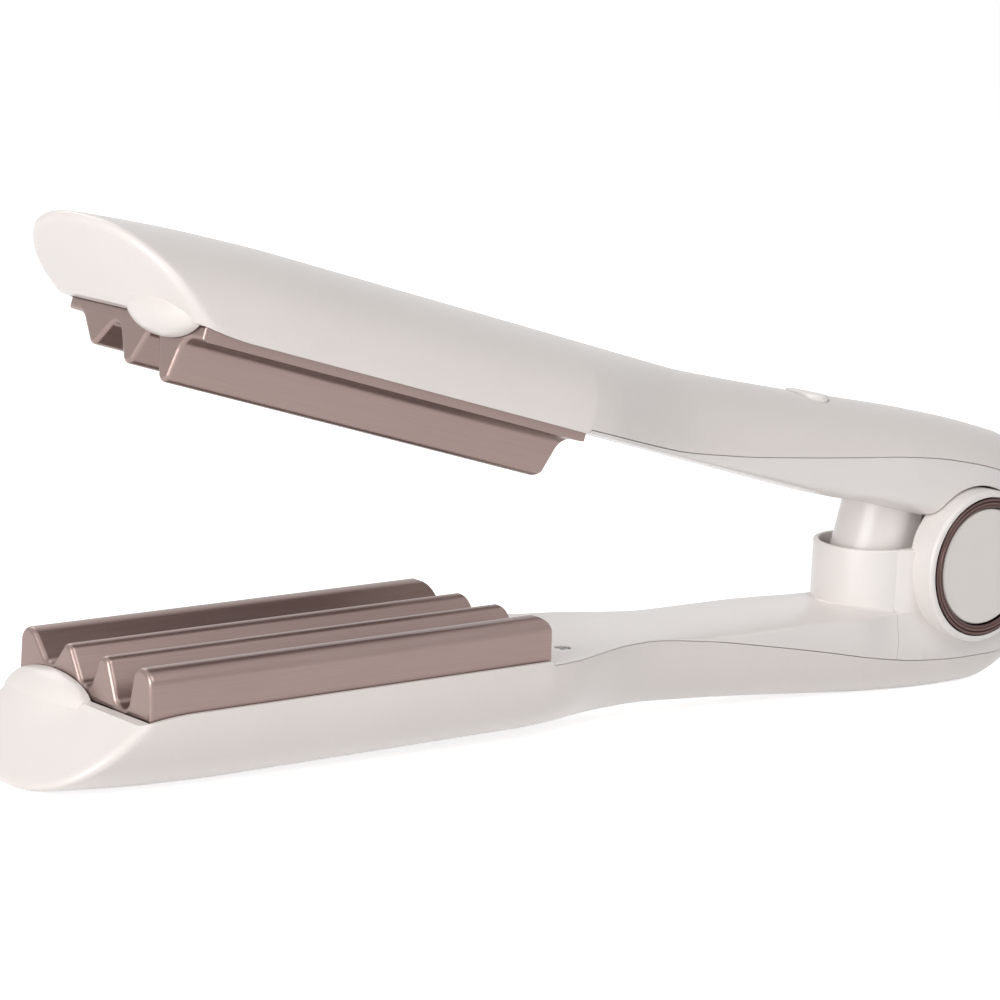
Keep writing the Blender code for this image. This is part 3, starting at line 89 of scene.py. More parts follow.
def smoothThrough(keys, x):  # monotone curve through (place, value) keys
    if x <= keys[0][0]:
        return keys[0][1]
    if x >= keys[-1][0]:
        return keys[-1][1]
    runs = [b[0] - a[0] for a, b in zip(keys, keys[1:])]
    slopes = [(b[1] - a[1]) / run for a, b, run in zip(keys, keys[1:], runs)]
    tangents = [slopes[0]]
    for before, after in zip(slopes, slopes[1:]):
        turnsBack = before * after <= 0.0
        tangents.append(0.0 if turnsBack else 2.0 * before * after / (before + after))
    tangents.append(slopes[-1])
    i = next(k for k in range(len(runs)) if x <= keys[k + 1][0])
    t = (x - keys[i][0]) / runs[i]
    return ((2 * t ** 3 - 3 * t ** 2 + 1) * keys[i][1] + (t ** 3 - 2 * t ** 2 + t) * runs[i] * tangents[i]
            + (3 * t ** 2 - 2 * t ** 3) * keys[i + 1][1] + (t ** 3 - t ** 2) * runs[i] * tangents[i + 1])


def metres(value):  # millimetres to metres, also inside tuples and dictionaries
    if isinstance(value, dict):
        return {name: metres(inner) for name, inner in value.items()}
    return tuple(metres(inner) for inner in value) if isinstance(value, tuple) else value * mm


def inMm(**sizes):  # a piece's lengths, written in millimetres
    return metres(sizes)


def quarterRound(steps):  # how far in and how far down, round a corner of radius 1
    angles = [pi / 2 * i / steps for i in range(steps + 1)]
    return [(1 - cos(a), 1 - sin(a)) for a in angles]


def ease(t):
    t = min(max(t, 0.0), 1.0)
    return t * t * (3 - 2 * t)


def bend(start, knee, end, t):  # place on a curve that leans towards its knee
    return start * (1 - t) ** 2 + knee * 2 * t * (1 - t) + end * t ** 2


plates = inMm(
    length=90, reach=118.9, width=42.2, base=6.4, ridgeHeight=9.4, ridgeRadius=1.7, edgeRidgeRadius=2.9,
    valleyRadius=2.2, meshGap=0.5, railHeight=3, railWidth=1.4, railPlace=9.8, cornerRadius=3,
    upperSetback=0.5, upperSlope=1.1, upperCornerRadius=2.1, flangeRise=0.1, endRound=1, cornerRise=0.2,
) | {
    "ridgePlaceShares": (-0.853, -0.29, 0.265, 0.853), "ridgeHeightShares": (1, 0.96, 0.94, 1),
    "valleyPlaceShares": (-0.569, -0.019, 0.531), "valleyFloorShares": (0.11, 0.27, 0.46),
}
casing = inMm(
    halfWidth=22.2, gripHalfWidth=13.2, hubHalfWidth=14, tailRadius=12.2, plateCrest=22,
    hingeCrest=28.1, noseCrest=19.6, wall=1.8, rimHeight=5.3, gripUnderside=5.3, hubUnderside=6.7,
    lowerUnderside=((-118.9, 5.8), (-100, 6), (-90, 6.2), (-80, 6.6), (-70, 6.9), (-62, 7.05),
                    (-48, 7.15), (-36, 7.5), (-28, 7.9), (-19.5, 8), (-10, 7.4)),
    edgeDrop={"upper": 0.2, "lower": 1.8}, seamFront=6.2, seamHub=20.2, widestFront=5.7, widestHub=12,
    tail=30, upperTail=15, upperTailRound=4, buttonReach=45.2, cupReach=17.2, housingReach=19.5,
    seamRound=0.2, leastSide=0.2, seamGap=0.12, partingGap=0.1, ringStep=1.6,
) | {
    "casePower": 2.45, "gripPower": 2.2, "roundPower": 2, "undersidePower": {"upper": 4, "lower": 2.8},
    "seamRoundMid": 0.3,
    "crestRiseShares": ((0, 0), (0.28, 0), (0.42, 0.15), (0.55, 0.35), (0.7, 0.62), (0.85, 0.87),
                        (1, 1)),
    "narrowingShares": ((0, 0), (0.06, 0.13), (0.13, 0.46), (0.2, 0.76), (0.3, 0.95), (0.42, 1)),
    "seamRiseShares": ((0, 0), (0.24, 0.03), (0.38, 0.16), (0.53, 0.38), (0.67, 0.61), (0.8, 0.83),
                       (0.9, 0.95), (1, 1)),
    "tailCrestShares": ((0, 0), (0.27, 0), (0.5, 0.1), (0.7, 0.38), (0.87, 0.76), (1, 1)),
    "tailSeamShares": ((0, 0), (0.33, 0), (0.6, 0.22), (0.8, 0.6), (1, 1)),
    "noseCrestShares": ((0, 0), (0.3, 0.45), (0.6, 0.8), (1, 1)),
    "tailWidthShares": ((0.4, 0), (0.7, 0.5), (1, 1)),
    "widestShares": ((0, 0), (0.24, 0.05), (0.7, 0.6), (1, 1)),
    "tailWidestShares": ((0.35, 0.06), (0.65, 0.55), (1, 1)),
    "undersideShares": ((0, 0), (0.15, 0.25), (0.35, 0.9), (1, 1)),
    "tailTopShares": ((0, 0), (0.5, 0), (0.56, 0.28), (0.6, 0.55), (0.66, 0.8), (0.74, 0.93),
                      (0.85, 0.98), (1, 1)),
    "powerShares": ((0, 0), (0.3, 1), (1, 1)), "tailPowerShares": ((0, 0), (0.5, 0), (1, 1)),
}
nose = inMm(
    edgeRadius=2.1, ramp=24, twist={"upper": 3.4, "lower": 0.8}, tuck={"upper": 3, "lower": 0},
    tuckHeight=5.2, rimDrop=1, rimRun=10, turnIn=0.12, lobeReach={"upper": 5.2, "lower": 4.6},
    lobeHalf={"upper": (11, 5.6), "lower": (12, 4.2)},
    lobeCentre={"upper": (-9.3, 8.3), "lower": (-8.8, 6.8)}, lobeSkirt=14, lowerBlend=4.5,
) | {"lean": 1.19, "twistPower": 1.5}
plateRear = -plates["reach"]
plateFront = plateRear - plates["length"]
faceX = plateFront - gap
crestTip = faceX - nose["lean"] * (casing["noseCrest"] - casing["rimHeight"])


def keysBetween(start, end, first, last, shares=None):  # keys between two of the casing's sizes
    low, high = (casing[key] if isinstance(key, str) else key for key in (first, last))
    steps = casing[shares] if shares else ((0.0, 0.0), (1.0, 1.0))
    return [(start + (end - start) * a, low + (high - low) * b) for a, b in steps]


crestKeys = (keysBetween(crestTip, plateFront + nose["ramp"], "noseCrest", "plateCrest", "noseCrestShares")
             + keysBetween(plateRear, 0.0, "plateCrest", "hingeCrest", "crestRiseShares")
             + keysBetween(0.0, casing["tail"], "hingeCrest", "tailRadius", "tailCrestShares")[1:])
widthKeys = (keysBetween(plateRear, 0.0, "halfWidth", "gripHalfWidth", "narrowingShares")
             + [(-casing["buttonReach"], casing["gripHalfWidth"]),
                (-casing["cupReach"], casing["hubHalfWidth"]), (0.0, casing["hubHalfWidth"])]
             + keysBetween(0.0, casing["tail"], "hubHalfWidth", "tailRadius", "tailWidthShares"))
seamKeys = (keysBetween(plateRear, 0.0, "seamFront", "seamHub", "seamRiseShares")
            + keysBetween(0.0, casing["tail"], "seamHub", 0.0, "tailSeamShares")[1:])
widestKeys = (keysBetween(plateRear, 0.0, "widestFront", "widestHub", "widestShares")
              + keysBetween(0.0, casing["tail"], "widestHub", 0.0, "tailWidestShares"))
tailTopKeys = keysBetween(0.0, casing["tail"], "hubUnderside", -casing["tailRadius"], "tailTopShares")
undersideKeys = {
    "upper": keysBetween(-casing["buttonReach"], 0.0, "gripUnderside", "hubUnderside", "undersideShares")
    + tailTopKeys[1:],
    "lower": [*casing["lowerUnderside"], *tailTopKeys],
}
powerKeys = (keysBetween(plateRear, 0.0, "casePower", "gripPower", "powerShares")
             + keysBetween(0.0, casing["tail"], "gripPower", "roundPower")[1:])
undersidePowerKeys = {arm: keysBetween(0.0, casing["tail"], power, "roundPower", "tailPowerShares")
                      for arm, power in casing["undersidePower"].items()}


def crest(x):
    return smoothThrough(crestKeys, x)


def halfWidth(x):
    return smoothThrough(widthKeys, x)


def widest(x):
    return casing["rimHeight"] if x < plateRear else smoothThrough(widestKeys, x)


def rim(x):  # edge of the outer casing
    if x >= plateRear:
        return smoothThrough(seamKeys, x)
    run = max(0.0, plateFront + nose["rimRun"] - x) / nose["rimRun"]
    return casing["rimHeight"] + nose["rimDrop"] * min(1.0, run) ** 2


def underside(arm, x):
    return smoothThrough(undersideKeys[arm], x)


def tailInset(x, tail):  # the upper casing's end is drawn in like a quarter circle
    radius = casing["upperTailRound"]
    past = x - (tail - radius)
    if tail >= casing["tail"] or past <= 0.0:
        return 0.0
    return radius - sqrt(max(0.0, radius ** 2 - past ** 2))


def sideWidth(x, z, inset=0.0):
    base = widest(x)
    share = min(max((z - base) / (crest(x) - inset - base), 0.0), 1.0)
    power = smoothThrough(powerKeys, x)
    return (halfWidth(x) - inset) * (1 - share ** power) ** (1 / power)


def innerHeight(x, y):
    base = widest(x)
    rise = crest(x) - casing["wall"] - base
    power = smoothThrough(powerKeys, x)
    return base + rise * (1 - (y / (halfWidth(x) - casing["wall"])) ** power) ** (1 / power)


def signedPower(value, power):
    return copysign(abs(value) ** power, value)


def ovalArc(half, base, rise, power, low, steps):  # half of a super-ellipse, as (y, z)
    angles = [low + (pi - 2 * low) * i / steps for i in range(steps + 1)]
    return [(-half * signedPower(cos(a), 2 / power), base + rise * sin(a) ** (2 / power))
            for a in angles]


def crownPoints(x, crestX, edge, inset):  # a casing section from edge to edge, as (y, z)
    base = widest(x)
    rise = crest(crestX) - inset - base
    power = smoothThrough(powerKeys, x)
    low = asin(min(1.0, max(0.0, (edge - base) / rise)) ** (power / 2))
    return ovalArc(halfWidth(x) - inset, base, rise, power, low, fine["section"])


def bowlPoints(arm, x, inset=0.0):  # an arm's inner side, as (y, z)
    top = rim(x) - casing["seamGap"]
    low = underside(arm, x)
    base = min(max(widest(x), low + casing["edgeDrop"][arm]), top - casing["leastSide"])
    round_ = min(casing["seamRound"], (top - base) / 2)
    mid = round_ * casing["seamRoundMid"]
    heights = (top, top - mid, top - round_, (top + base) / 2)
    left = [(drawnIn - sideWidth(x, z, inset), z) for z, drawnIn in zip(heights, (round_, mid, 0.0, 0.0))]
    bowl = ovalArc(sideWidth(x, base, inset), base, low - base, smoothThrough(undersidePowerKeys[arm], x),
                   0.0, fine["outline"])
    return left + bowl + [(-y, z) for y, z in reversed(left)]


# Mesh tools

view = bpy.context.scene
scratch = bpy.data.collections.new("tools")
view.collection.children.link(scratch)


def objectFrom(name, bm, arm):  # a mesh in an arm's frame
    mesh = bpy.data.meshes.new(name)
    bmesh.ops.recalc_face_normals(bm, faces=bm.faces)
    bm.to_mesh(mesh)
    bm.free()
    made = bpy.data.objects.new(name, mesh)
    scratch.objects.link(made)
    made.matrix_world = armFrames[arm]
    return made


def boxMesh(name, arm, low, high):
    middle = [(a + b) / 2 for a, b in zip(low, high)]
    size = [b - a for a, b in zip(low, high)]
    bm = bmesh.new()
    bmesh.ops.create_cube(bm, size=1.0, matrix=Matrix.Translation(middle) @ Matrix.Diagonal((*size, 1.0)))
    return objectFrom(name, bm, arm)


turns = {"X": Matrix.Rotation(radians(90), 4, "Y"), "Y": Matrix.Rotation(radians(-90), 4, "X"),
         "Z": Matrix.Identity(4)}


def onAxis(axis, along, centre):
    return {"X": (along, *centre), "Y": (centre[0], along, centre[1]), "Z": (*centre, along)}[axis]


def rodMesh(name, arm, axis, start, end, radius, centre=(0.0, 0.0), steps=None):
    place = Matrix.Translation(onAxis(axis, (start + end) / 2, centre)) @ turns[axis]
    bm = bmesh.new()
    bmesh.ops.create_cone(bm, cap_ends=True, segments=steps or fine["round"], radius1=radius,
                          radius2=radius, depth=end - start, matrix=place)
    return objectFrom(name, bm, arm)


def turnedMesh(name, arm, axis, profile, centre=(0.0, 0.0), steps=None):  # profile of (radius, along)
    steps = steps or fine["round"]
    bm = bmesh.new()
    rows = []
    for radius, along in profile:
        angles = [2 * pi * i / steps for i in range(steps if radius > 0.0 else 1)]
        rows.append([bm.verts.new((radius * cos(a), radius * sin(a), along)) for a in angles])
    around = list(zip(rows, rows[1:]))
    if min(radius for radius, _ in profile) > 0.0:
        around.append((rows[-1], rows[0]))
    for first, second in around:
        for i in range(steps):
            j = (i + 1) % steps
            corners = [first[i % len(first)], first[j % len(first)], second[j % len(second)],
                       second[i % len(second)]]
            unique = list(dict.fromkeys(corners))
            if len(unique) > 2:
                bm.faces.new(unique)
    bm.transform(Matrix.Translation(onAxis(axis, 0.0, centre)) @ turns[axis])
    return objectFrom(name, bm, arm)


def roundedProfile(corners, radius):  # rounds each corner that isn't on the axis
    points = []
    count = len(corners)
    for i, corner in enumerate(corners):
        here = Vector(corner)
        before = Vector(corners[i - 1]) - here
        after = Vector(corners[(i + 1) % count]) - here
        if corner[0] == 0.0 or before.length == 0.0 or after.length == 0.0:
            points.append(tuple(corner))
            continue
        reach = min(radius, before.length * fine["cornerShare"], after.length * fine["cornerShare"])
        start, end = here + before.normalized() * reach, here + after.normalized() * reach
        for step in range(fine["corner"] + 1):
            point = bend(start, here, end, step / fine["corner"])
            points.append((max(point.x, 0.0), point.y))
    return points


def ringSolid(name, arm, rings):  # closed solid over closed rings, with flat ends
    bm = bmesh.new()
    rows = [[bm.verts.new(point) for point in ring] for ring in rings]
    for first, second in zip(rows, rows[1:]):
        for i in range(len(first)):
            j = (i + 1) % len(first)
            bm.faces.new((first[i], first[j], second[j], second[i]))
    bm.faces.new(rows[0][::-1])
    bm.faces.new(rows[-1])
    return objectFrom(name, bm, arm)


def prismMesh(name, arm, axis, outline, start, end):
    return ringSolid(name, arm, [[(at, a, b) if axis == "X" else (a, at, b) for a, b in outline]
                                 for at in (start, end)])


def ballMesh(name, arm, place):  # a unit ball, stretched and placed
    bm = bmesh.new()
    around, upright = fine["ball"]
    bmesh.ops.create_uvsphere(bm, u_segments=around, v_segments=upright, radius=1.0, matrix=place)
    return objectFrom(name, bm, arm)


def loftMesh(name, arm, rings, bulge=None):  # skin over rings of an odd count; bulge moves the last cap
    bm = bmesh.new()
    rows = [[bm.verts.new(point) for point in ring] for ring in rings]
    count = len(rows[0])
    inner = []
    if bulge:
        last = rows[-1]
        for i in range(count // 2):
            left, right = last[i], last[count - 1 - i]
            row = [left]
            for k in range(1, fine["cap"]):
                point = left.co.lerp(right.co, k / fine["cap"])
                row.append(bm.verts.new(bulge(point) if i else point))
            inner.append(row + [right])
        for a, b in zip(inner, inner[1:]):
            for k in range(fine["cap"]):
                bm.faces.new((a[k], a[k + 1], b[k + 1], b[k]))
        for k in range(fine["cap"]):
            bm.faces.new((inner[-1][k], inner[-1][k + 1], last[count // 2]))
    for number, (first, second) in enumerate(zip(rows, rows[1:])):
        for i in range(count - 1):
            bm.faces.new((first[i], first[i + 1], second[i + 1], second[i]))
        corners = [first[-1], first[0], second[0]]
        if bulge and number == len(rows) - 2:
            corners += inner[0][1:-1]
        bm.faces.new(corners + [second[-1]])
    for row in ([rows[0]] if bulge else [rows[0], rows[-1]]):
        for i in range(count // 2):
            j = count - 1 - i
            bm.faces.new(list(dict.fromkeys((row[i], row[i + 1], row[j - 1], row[j]))))
    return objectFrom(name, bm, arm)


def tubeMesh(name, arm, points, radius):
    curve = bpy.data.curves.new(name, "CURVE")
    curve.dimensions = "3D"
    curve.bevel_depth = radius
    curve.bevel_resolution = fine["wire"]
    curve.use_fill_caps = True
    spline = curve.splines.new("POLY")
    spline.points.add(len(points) - 1)
    for spot, point in zip(spline.points, points):
        spot.co = (*point, 1.0)
    drawn = bpy.data.objects.new(name + "Curve", curve)
    scratch.objects.link(drawn)
    bpy.context.view_layer.update()
    bm = bmesh.new()
    bm.from_mesh(bpy.data.meshes.new_from_object(
        drawn.evaluated_get(bpy.context.evaluated_depsgraph_get())))
    bmesh.ops.remove_doubles(bm, verts=bm.verts, dist=fine["weld"])
    bpy.data.objects.remove(drawn)
    return objectFrom(name, bm, arm)


def combine(target, operation, tools, selfTouch=False):
    for tool in tools:
        step = target.modifiers.new(tool.name, "BOOLEAN")
        step.operation = operation
        step.solver = "EXACT"
        step.use_self = selfTouch
        step.object = tool


def cut(target, *tools, selfTouch=False):
    combine(target, "DIFFERENCE", tools, selfTouch)


def unite(target, *tools):
    combine(target, "UNION", tools)


def finishPiece(piece, body, look, node):  # applies the tools, then hands the piece to its body
    bpy.context.view_layer.update()
    ready = piece.evaluated_get(bpy.context.evaluated_depsgraph_get())
    mesh = bpy.data.meshes.new_from_object(ready)
    mesh.transform(piece.matrix_world)  # pieces keep their place in the mesh, as the CAD nodes do
    piece.modifiers.clear()
    piece.data = mesh
    piece.matrix_world = Matrix.Identity(4)
    mesh.name = piece.name
    mesh.shade_smooth()
    mesh.set_sharp_from_angle(angle=fine["sharpAngle"])
    mesh.materials.clear()
    mesh.materials.append(look)
    scratch.objects.unlink(piece)
    view.collection.objects.link(piece)
    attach(piece, body)
    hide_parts(node)
    return piece


# Materials

def startMaterial(name, base, roughness, metallic=0.0, **shine):
    made = bpy.data.materials.new(name)
    made.use_nodes = True
    tree = made.node_tree
    shader = tree.nodes["Principled BSDF"]
    for socket, value in {"Base_Color": (*base, 1.0), "Roughness": roughness, "Metallic": metallic,
                          **shine}.items():
        shader.inputs[socket.replace("_", " ")].default_value = value
    return made, tree, shader


def plug(tree, socket, value):  # links a socket's value, or sets a plain one
    if isinstance(value, bpy.types.NodeSocket):
        tree.links.new(value, socket)
    else:
        socket.default_value = value


def addNode(tree, kind, settings={}, ordered=(), **inputs):
    node = tree.nodes.new("ShaderNode" + kind)
    for name, value in settings.items():
        setattr(node, name, value)
    for socket, value in zip(node.inputs, ordered):
        plug(tree, socket, value)
    for name, value in inputs.items():
        plug(tree, node.inputs[name.replace("_", " ")], value)
    return node


def mathNode(tree, operation, first, second):
    return addNode(tree, "Math", {"operation": operation}, (first, second)).outputs[0]


def place(tree):  # texture places along the world's axes
    return addNode(tree, "TexCoord").outputs["Object"]


def armCoords(tree, arm):  # texture places measured from the hinge, along the arm
    return addNode(tree, "Mapping", {"vector_type": "TEXTURE"}, Vector=place(tree), Location=hingePoint,
                   Rotation=armFrames[arm].to_euler("XYZ")).outputs["Vector"]


def noise(tree, scale, detail=3.0, roughness=0.5, stretch=(1.0, 1.0, 1.0), arm="lower"):
    mapped = addNode(tree, "Mapping", Vector=armCoords(tree, arm), Scale=stretch).outputs["Vector"]
    return addNode(tree, "TexNoise", Vector=mapped, Scale=scale, Detail=detail,
                   Roughness=roughness).outputs["Fac"]


def tint(tree, fac, low, high, start=0.3, end=0.7):
    ramp = addNode(tree, "ValToRGB", Fac=fac)
    for stop, position, colour in zip(ramp.color_ramp.elements, (start, end), (low, high)):
        stop.position, stop.color = position, (*colour, 1.0)
    return ramp.outputs["Color"]


def spread(tree, value, low, high, fromLow=0.3, fromHigh=0.7):
    return addNode(tree, "MapRange", Value=value, From_Min=fromLow, From_Max=fromHigh, To_Min=low,
                   To_Max=high).outputs["Result"]


def dress(tree, shader, colour, roughness, height, strength, depth):  # depth of the relief in millimetres
    normal = addNode(tree, "Bump", Height=height, Strength=strength, Distance=depth * mm).outputs["Normal"]
    for name, value in (("Base Color", colour), ("Roughness", roughness), ("Normal", normal)):
        tree.links.new(value, shader.inputs[name])


def mouldedPlastic(name, low, high, roughness, flakes, **shine):  # satin moulding, pearl if it has flakes
    made, tree, shader = startMaterial(name, high, roughness, **shine)
    cloud = noise(tree, scale=22.0, detail=4.0)
    colour = tint(tree, cloud, low, high)
    if flakes:
        cells = addNode(tree, "TexVoronoi", Vector=place(tree), Scale=4200.0).outputs["Distance"]
        mix = addNode(tree, "Mix", {"data_type": "RGBA"})
        share = spread(tree, cells, flakes, 0.0, fromLow=0.05, fromHigh=0.40)
        flakeColour = (1.0, 0.96, 0.93, 1.0)
        for socket, value in ((0, share), (6, colour), (7, flakeColour)):  # the colour sockets of a mix node
            plug(tree, mix.inputs[socket], value)
        colour = mix.outputs[2]
    grain = noise(tree, scale=700.0, detail=5.0, roughness=0.6)
    dress(tree, shader, colour, spread(tree, grain, roughness - 0.04, roughness + 0.05), grain,
          strength=0.10, depth=0.03)
    return made


def brushedMetal(name, low, high, roughness, stretch, scale, arm="lower", metallic=1.0, strength=0.25):
    made, tree, shader = startMaterial(name, high, roughness, metallic)
    lines = noise(tree, scale, detail=6.0, roughness=0.65, stretch=stretch, arm=arm)
    cloud = noise(tree, scale=35.0)
    blend = mathNode(tree, "ADD", spread(tree, lines, 0.0, 0.75), spread(tree, cloud, 0.0, 0.25))
    dress(tree, shader, tint(tree, blend, low, high, start=0.1, end=0.9),
          spread(tree, lines, roughness - 0.02, roughness + 0.03), lines, strength, depth=0.02)
    return made


def turnedMetal(name, low, high, roughness, axes, scale=2600.0, strength=0.2):
    made, tree, shader = startMaterial(name, high, roughness, 1.0)
    flat = addNode(tree, "Mapping", Vector=armCoords(tree, "lower"), Scale=axes).outputs["Vector"]
    length = addNode(tree, "VectorMath", {"operation": "LENGTH"}, (flat,)).outputs["Value"]
    rings = addNode(tree, "TexNoise", {"noise_dimensions": "1D"}, W=length, Scale=scale,
                    Detail=4.0).outputs["Fac"]
    dress(tree, shader, tint(tree, rings, low, high),
          spread(tree, rings, roughness - 0.05, roughness + 0.07), rings, strength, depth=0.01)
    return made


def grainyPlastic(name, low, high, roughness, scale=1300.0, strength=0.3):
    made, tree, shader = startMaterial(name, high, roughness)
    cells = addNode(tree, "TexVoronoi", {"feature": "SMOOTH_F1"}, Vector=place(tree), Scale=scale)
    cloud = noise(tree, scale=60.0)
    dress(tree, shader, tint(tree, cloud, low, high),
          spread(tree, cloud, roughness - 0.05, roughness + 0.08), cells.outputs["Distance"], strength,
          depth=0.05)
    return made


def circuitBoard(name):
    made, tree, shader = startMaterial(name, (0.02, 0.12, 0.05), 0.35)
    tracks = addNode(tree, "TexBrick", {"offset": 0.5, "squash": 1.0}, Vector=place(tree), Scale=160.0,
                     Color1=(0.02, 0.14, 0.06, 1.0), Color2=(0.03, 0.19, 0.08, 1.0),
                     Mortar=(0.10, 0.30, 0.12, 1.0))
    grain = noise(tree, scale=900.0)
    dress(tree, shader, tracks.outputs["Color"], spread(tree, grain, 0.30, 0.42), tracks.outputs["Fac"],
          strength=0.3, depth=0.03)
    return made


def wovenSleeve(name, low, high):
    made, tree, shader = startMaterial(name, high, 0.7)
    bands = []
    for turn in (radians(40), radians(-40)):
        mapped = addNode(tree, "Mapping", Vector=place(tree), Rotation=(0.0, 0.0, turn)).outputs["Vector"]
        bands.append(addNode(tree, "TexWave", Vector=mapped, Scale=420.0, Distortion=0.4).outputs["Fac"])
    weave = mathNode(tree, "MULTIPLY", *bands)
    dress(tree, shader, tint(tree, weave, low, high, start=0.1, end=0.8),
          spread(tree, weave, 0.8, 0.6, fromLow=0.0, fromHigh=1.0), weave, strength=0.5, depth=0.08)
    return made


pearl = mouldedPlastic("satinPearl", (0.745, 0.690, 0.660), (0.785, 0.728, 0.698), 0.34, 0.20,
                       Coat_Weight=0.25, Coat_Roughness=0.22)
whiteSatin = mouldedPlastic("satinWhite", (0.790, 0.745, 0.720), (0.825, 0.780, 0.755), 0.32, 0.0,
                            Coat_Weight=0.20, Coat_Roughness=0.20)
paleGrey = mouldedPlastic("paleGreyDisc", (0.750, 0.700, 0.665), (0.785, 0.735, 0.700), 0.36, 0.12,
                          Coat_Weight=0.15, Coat_Roughness=0.25)
roseBronze = {arm: brushedMetal(arm + "RoseBronze", (0.286, 0.208, 0.190), (0.314, 0.232, 0.214), 0.30,
                                (0.02, 1.0, 1.0), 3200.0, arm, 0.78, 0.05) for arm in armFrames}
darkBronze = turnedMetal("darkBronze", (0.060, 0.036, 0.033), (0.150, 0.098, 0.092), 0.30, (1.0, 0.0, 1.0))
plainSteel = brushedMetal("plainSteel", (0.45, 0.45, 0.46), (0.66, 0.66, 0.66), 0.28, (1.0, 1.0, 0.05),
                          1800.0)
blackMoulding = grainyPlastic("blackMoulding", (0.018, 0.018, 0.020), (0.035, 0.035, 0.038), 0.52)
heaterCeramic = grainyPlastic("heaterCeramic", (0.72, 0.68, 0.62), (0.86, 0.83, 0.77), 0.60, 2400.0, 0.4)
boardLook = circuitBoard("circuitBoard")
sleeveLook = wovenSleeve("leadSleeve", (0.28, 0.03, 0.025), (0.60, 0.09, 0.07))
print("materials made")


# Casings

def noseTurn(y):  # how far towards its near side the nose is turned back, 0 to 1
    return max(0.0, (y / casing["halfWidth"] + 1) / 2) ** nose["twistPower"]


def endRings(places, end):  # more rings where the end is drawn in
    quarter = [end - casing["upperTailRound"] * down for _, down in quarterRound(fine["tail"])]
    return [x for x in places if x < quarter[0] - gap] + quarter


def casingRings(arm, tail, inset=0.0, drop=0.0):
    radius = nose["edgeRadius"]
    slope = sqrt(1 + nose["lean"] ** 2) * radius
    start = tail
    if inset > 0.0:
        start = tail - inset if tail < casing["tail"] else tail + overrun
    end = faceX + nose["ramp"]
    steps = int((start - end) / casing["ringStep"])
    places = [start + (end - start) * i / steps for i in range(steps + 1)]
    if tail < casing["tail"]:
        places = endRings(places, start)
    places = sorted([x for x in places if abs(x - plateRear) > 2 * gap] + [plateRear + gap, plateRear - gap],
                    reverse=True)
    rings = [[(x, y, z) for y, z in closedCrown(x, x, tailInset(x, tail) + inset, drop)] for x in places]
    ramp = [nose["ramp"] + (slope - nose["ramp"]) * i / fine["ramp"] for i in range(1, fine["ramp"])]
    edge = [(slope * down, radius * into) for into, down in quarterRound(fine["edge"])]
    for ahead, rounding in [(ahead, 0.0) for ahead in ramp] + (edge if inset == 0.0 else edge[:1]):
        x = faceX + ahead
        blend = ease((nose["ramp"] - ahead) / (nose["ramp"] - slope))
        lean = nose["lean"] * blend
        ring = []
        for y, z in closedCrown(x, x - lean * (casing["noseCrest"] - casing["rimHeight"]),
                                rounding + inset, drop):
            run = nose["twist"][arm] * blend * noseTurn(y)
            low = max(0.0, 1 - (z - rim(x)) / nose["tuckHeight"])
            past = min(1.0, max(0.0, faceX - x + run) / nose["twist"][arm])
            drawn = nose["tuck"][arm] * (past * low) ** 2
            ring.append((x - lean * (z - casing["rimHeight"]) - run, y - drawn, z))
        rings.append(ring)
    return rings


def closedCrown(x, crestX, inset, drop):
    points = crownPoints(x, crestX, rim(x), inset)
    for end, sign in ((0, 1), (-1, -1)):  # the rim's outer corner is slightly rounded
        y, z = points[end]
        points[end] = (y, rim(x) - drop) if drop > 0.0 else (y + sign * nose["turnIn"], z)
    return points


def lobeFront(y, z):  # how far ahead of the plate the lower lobe reaches
    middleY, middleZ = nose["lobeCentre"]["lower"]
    halfY, halfZ = nose["lobeHalf"]["lower"]
    tall = nose["lobeSkirt"] if z > middleZ else halfZ
    away = ((y - middleY) / halfY) ** 2 + ((z - middleZ) / tall) ** 2
    return faceX - nose["lobeReach"]["lower"] * sqrt(max(0.0, 1.0 - away))


def softJoin(x, front):  # the nearer of two surfaces, blended where they meet
    soft = nose["lowerBlend"]
    mix = min(max(0.5 + 0.5 * (x - front) / soft, 0.0), 1.0)
    return x * (1 - mix) + front * mix - soft * mix * (1 - mix)


def softLobe(point):  # the lower lobe flows into the cut face
    return Vector((softJoin(point.x, lobeFront(point.y, point.z)), point.y, point.z))


def cutFace(y, z):  # the lower nose's slanted plane, carried on past its rim
    return faceX - nose["lean"] * (z - casing["rimHeight"]) - nose["twist"]["lower"] * noseTurn(y)


def outerShell(arm, tail):
    bulge = softLobe if arm == "lower" else Vector
    shell = loftMesh(arm + "Shell", arm, casingRings(arm, tail), bulge)
    cut(shell, loftMesh(arm + "Hollow", arm, casingRings(arm, tail, casing["wall"], overrun)))
    lobe = ballMesh(arm + "Lobe", arm, Matrix.Translation((faceX, *nose["lobeCentre"][arm]))
                    @ Matrix.Diagonal((nose["lobeReach"][arm], *nose["lobeHalf"][arm], 1.0)))
    if arm == "lower":
        for vert in lobe.data.vertices:
            if vert.co.x < faceX:
                vert.co.x = softJoin(cutFace(vert.co.y, vert.co.z), vert.co.x)
    reach = casing["halfWidth"]
    cut(lobe, boxMesh(arm + "LobeTrim", arm, (faceX + overrun, -reach, -reach),
                      (faceX + reach, reach, reach)))
    unite(shell, lobe)
    half, side = plates["width"] / 2 + gap, plates["railPlace"] + plates["railWidth"] + gap
    back, railBack = plates["base"] + gap, plates["base"] + plates["railHeight"] + gap
    seat = [(-half, -overrun), (half, -overrun), (half, back), (side, back), (side, railBack),
            (-side, railBack), (-side, back), (-half, back)]
    cut(shell, prismMesh(arm + "Seat", arm, "X", seat, faceX, plateRear + gap))
    return shell


